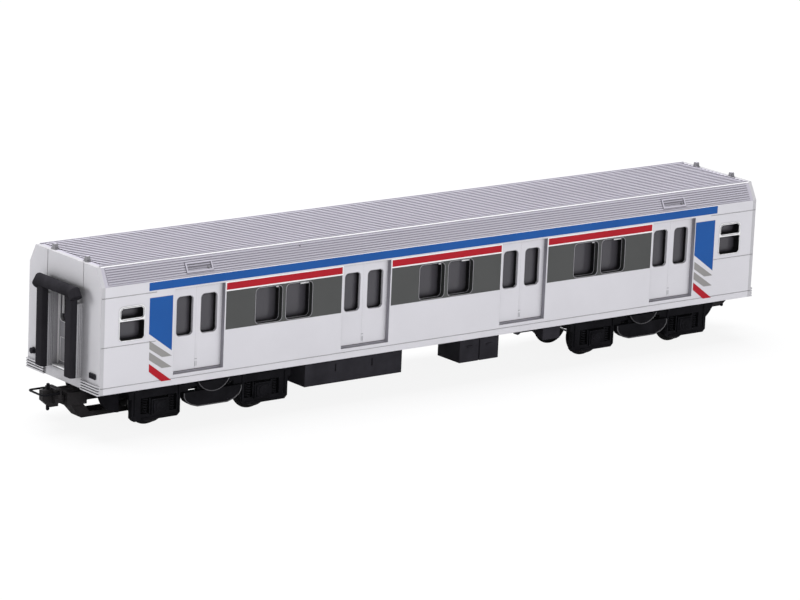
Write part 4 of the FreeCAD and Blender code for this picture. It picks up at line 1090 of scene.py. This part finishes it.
def bowl_rims():
    """A bead round the curved edge of a bowl."""
    curve = (BOWL_WIDTH ** 2 / 4 + BOWL_DEPTH ** 2) / (2 * BOWL_DEPTH)
    reach = math.asin(BOWL_WIDTH / 2 / curve)
    points = []
    for step in range(RIM_STEPS + 1):
        angle = reach * (2 * step / RIM_STEPS - 1)
        points.append((curve * INSET * math.sin(angle),
                       BOWL_LOW + curve - curve * INSET * math.cos(angle), BOWL_FACE - RIM_SINK))
    return wire("bowl_rim", points, RIM_WIRE)


def bogies():
    for mark, piece in zip(("a", "b"), on_bogies("coils", coils, BLACK)):
        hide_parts("bogie_springs_" + mark)
    on_bogies("spring_shade_backs", spring_shade_backs, SHADE_BLACK)
    on_bogies("pedestal_columns", pedestal_columns, BLACK)
    on_bogies("axle_covers", axle_covers, BLACK)
    # The lips and bowl rims are lightened as painted highlight.
    on_bogies("boat_lips", boat_lips, LIP_HIGHLIGHT)
    on_bogies("bowl_rims", bowl_rims, LIP_HIGHLIGHT)


# Wheels and couplers

WHEEL_STEPS = 72
BORE = 0.95
BACK_PROFILE = ((BORE, 0.0), (2.2, 0.0), (2.4, 0.35), (4.3, 0.35), (4.6, 0.0), (5.9, 0.0),
                (FLANGE - 0.05, 0.15), (FLANGE, 0.35), (FLANGE - 0.1, 0.6), (TREAD + 0.12, 0.85),
                (TREAD, 1.1))
FACE_PROFILE = ((TREAD - 0.05, -0.15), (TREAD - 0.2, 0.0), (4.6, 0.0), (4.35, -0.45), (2.3, -0.7),
                (1.9, -0.1), (1.75, 0.0), (BORE, 0.0))
BAIL_LOOP = (120.5, 126.3, -3.5, 3.5, 0.9)
BAIL_HEIGHT = 11.1
BAIL_WIRE = 0.3
PIN_PLACE = 122.3
PIN_STEPS = 20
PIN_PROFILE = ((0.0, 5.7), (0.3, 5.7), (0.5, 6.0), (0.5, 12.4), (0.42, 12.5), (0.42, 12.7),
               (0.5, 12.8), (0.5, 13.1), (0.35, 13.3), (0.0, 13.3))


def wheel(hand):
    """One wheel about Y, with a flange, a coned tread, a dished web and a hub."""
    profile = ([(radius, WHEEL_BACK + height) for radius, height in BACK_PROFILE]
               + [(radius, WHEEL_FACE + height) for radius, height in FACE_PROFILE]
               + [(BORE, WHEEL_BACK)])
    return set_to(lathed("wheel", profile, WHEEL_STEPS),
                  Matrix.Rotation(math.radians(-90 * hand), 4, "X"))


def wheels():
    centres = [centre + axle for _, centre in BOGIES for axle in AXLES]
    for number, centre in enumerate(centres, 1):
        pair = moved(joined([wheel(-1), wheel(1)]), centre, 0, AXLE_HEIGHT)
        piece = add_piece("turned_wheels_%d" % number, smoothed(pair), DARK_STEEL,
                          "wheelset_%d" % number)
        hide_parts("wheels_%d" % number)


def bail():
    """The wire loop of the coupler at end b, with round corners."""
    loop = rounded_box(*BAIL_LOOP)
    return wire("bail", [(x, y, BAIL_HEIGHT) for x, y in loop], BAIL_WIRE, closed=True)


def drop_pin():
    """The pin with a neck under its head, at end b."""
    return moved(lathed("drop_pin", PIN_PROFILE, PIN_STEPS), PIN_PLACE, 0)


def couplers():
    for mark, turn in (("a", TURN), ("b", STAY)):
        for name, make, node, body in (("wire_bail", bail, "coupler_bail_", "bail_"),
                                       ("turned_pin", drop_pin, "drop_pin_", "coupler_")):
            piece = add_piece("%s_%s" % (name, mark), set_to(make(), turn), BLACK,
                              body + mark)
            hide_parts(node + mark)


# Floor, light and camera

FLOOR_SIZE = 6.0  # metres, as are the places and sizes of the lights
FLOOR_COLOUR = (0.42, 0.42, 0.43, 1)
FLOOR_ROUGH = 0.9
FLOOR_GLOW = 1.1
FLOOR_GLOW_SHARE = 0.8
WORLD_LIGHT = 0.3
WHITE_LIGHT = (1, 1, 1, 1)
LIGHT_TARGET = Vector((0, 0, 0.03))
LIGHTS = (("key_light", (0.7, -1.4, 0.35), 0.9, 5.0),
          ("left_light", (-0.45, -1.5, 0.35), 0.9, 12.5),
          ("end_light", (-1.15, 1.05, 0.22), 0.4, 11.0),
          ("top_light", (0.0, 0.5, 1.8), 1.4, 54.0))
EYE = Vector((-720.54, -923.94, 315.01)) * MM
LOOK_AT = Vector((-2.56, 0.0, 22.4)) * MM
ROLL = math.radians(2.44)
LENS = 188.35
SENSOR = 36.0
CLIP_START = 0.01  # metres


def studio_floor():
    """A plain floor that the camera sees as white, with the car's soft shadow on it."""
    material, tree, shader = new_material("studio_floor")
    shader.inputs["Base Color"].default_value = FLOOR_COLOUR
    shader.inputs["Roughness"].default_value = FLOOR_ROUGH
    glow = tree.nodes.new("ShaderNodeEmission")
    glow.inputs["Strength"].default_value = FLOOR_GLOW
    seen = tree.nodes.new("ShaderNodeLightPath")
    mix = tree.nodes.new("ShaderNodeMixShader")
    out = shader.outputs["BSDF"].links[0].to_node
    share = spread(tree, seen.outputs["Is Camera Ray"], 0.0, FLOOR_GLOW_SHARE, 0.0, 1.0)
    tree.links.new(share, mix.inputs["Fac"])
    tree.links.new(shader.outputs["BSDF"], mix.inputs[1])
    tree.links.new(glow.outputs[0], mix.inputs[2])
    tree.links.new(mix.outputs[0], out.inputs["Surface"])
    bpy.ops.mesh.primitive_plane_add(size=FLOOR_SIZE, location=(0, 0, cad_box[0][2]))
    floor = bpy.context.object
    floor.name = "studio_floor"
    floor.data.materials.append(material)


def studio_world():
    """Soft light from all round; the camera sees plain white."""
    world = bpy.data.worlds.new("studio")
    bpy.context.scene.world = world
    world.use_nodes = True
    tree = world.node_tree
    tree.nodes.clear()
    out = tree.nodes.new("ShaderNodeOutputWorld")
    light = tree.nodes.new("ShaderNodeBackground")
    light.inputs["Strength"].default_value = WORLD_LIGHT
    light.inputs["Color"].default_value = WHITE_LIGHT
    white = tree.nodes.new("ShaderNodeBackground")
    white.inputs["Color"].default_value = WHITE_LIGHT
    path = tree.nodes.new("ShaderNodeLightPath")
    mix = tree.nodes.new("ShaderNodeMixShader")
    tree.links.new(path.outputs["Is Camera Ray"], mix.inputs["Fac"])
    tree.links.new(light.outputs[0], mix.inputs[1])
    tree.links.new(white.outputs[0], mix.inputs[2])
    tree.links.new(mix.outputs[0], out.inputs["Surface"])


def softbox(name, place, size, power):
    """A square area light that faces the middle of the car."""
    data = bpy.data.lights.new(name, "AREA")
    data.shape = "SQUARE"
    data.size = size
    data.energy = power
    lamp = bpy.data.objects.new(name, data)
    lamp.location = place
    lamp.rotation_euler = (LIGHT_TARGET - Vector(place)).to_track_quat("-Z", "Y").to_euler()
    bpy.context.scene.collection.objects.link(lamp)


def photo_camera():
    data = bpy.data.cameras.new("photo_camera")
    data.lens = LENS
    data.sensor_width = SENSOR
    data.clip_start = CLIP_START
    camera = bpy.data.objects.new("photo_camera", data)
    ahead = (LOOK_AT - EYE).normalized()
    right = ahead.cross(Vector((0, 0, 1))).normalized()
    up = right.cross(ahead)
    tilted_right = math.cos(ROLL) * right + math.sin(ROLL) * up
    tilted_up = -math.sin(ROLL) * right + math.cos(ROLL) * up
    turn = Matrix((tilted_right, tilted_up, -ahead)).transposed().to_4x4()
    camera.matrix_world = Matrix.Translation(EYE) @ turn
    bpy.context.scene.collection.objects.link(camera)
    bpy.context.scene.camera = camera


dress_nodes()
livery()
windows()
doors()
roof_details()
ends()
bogies()
wheels()
couplers()
studio_floor()
studio_world()
for light_row in LIGHTS:
    softbox(*light_row)
photo_camera()
bpy.context.scene.view_settings.view_transform = "Standard"
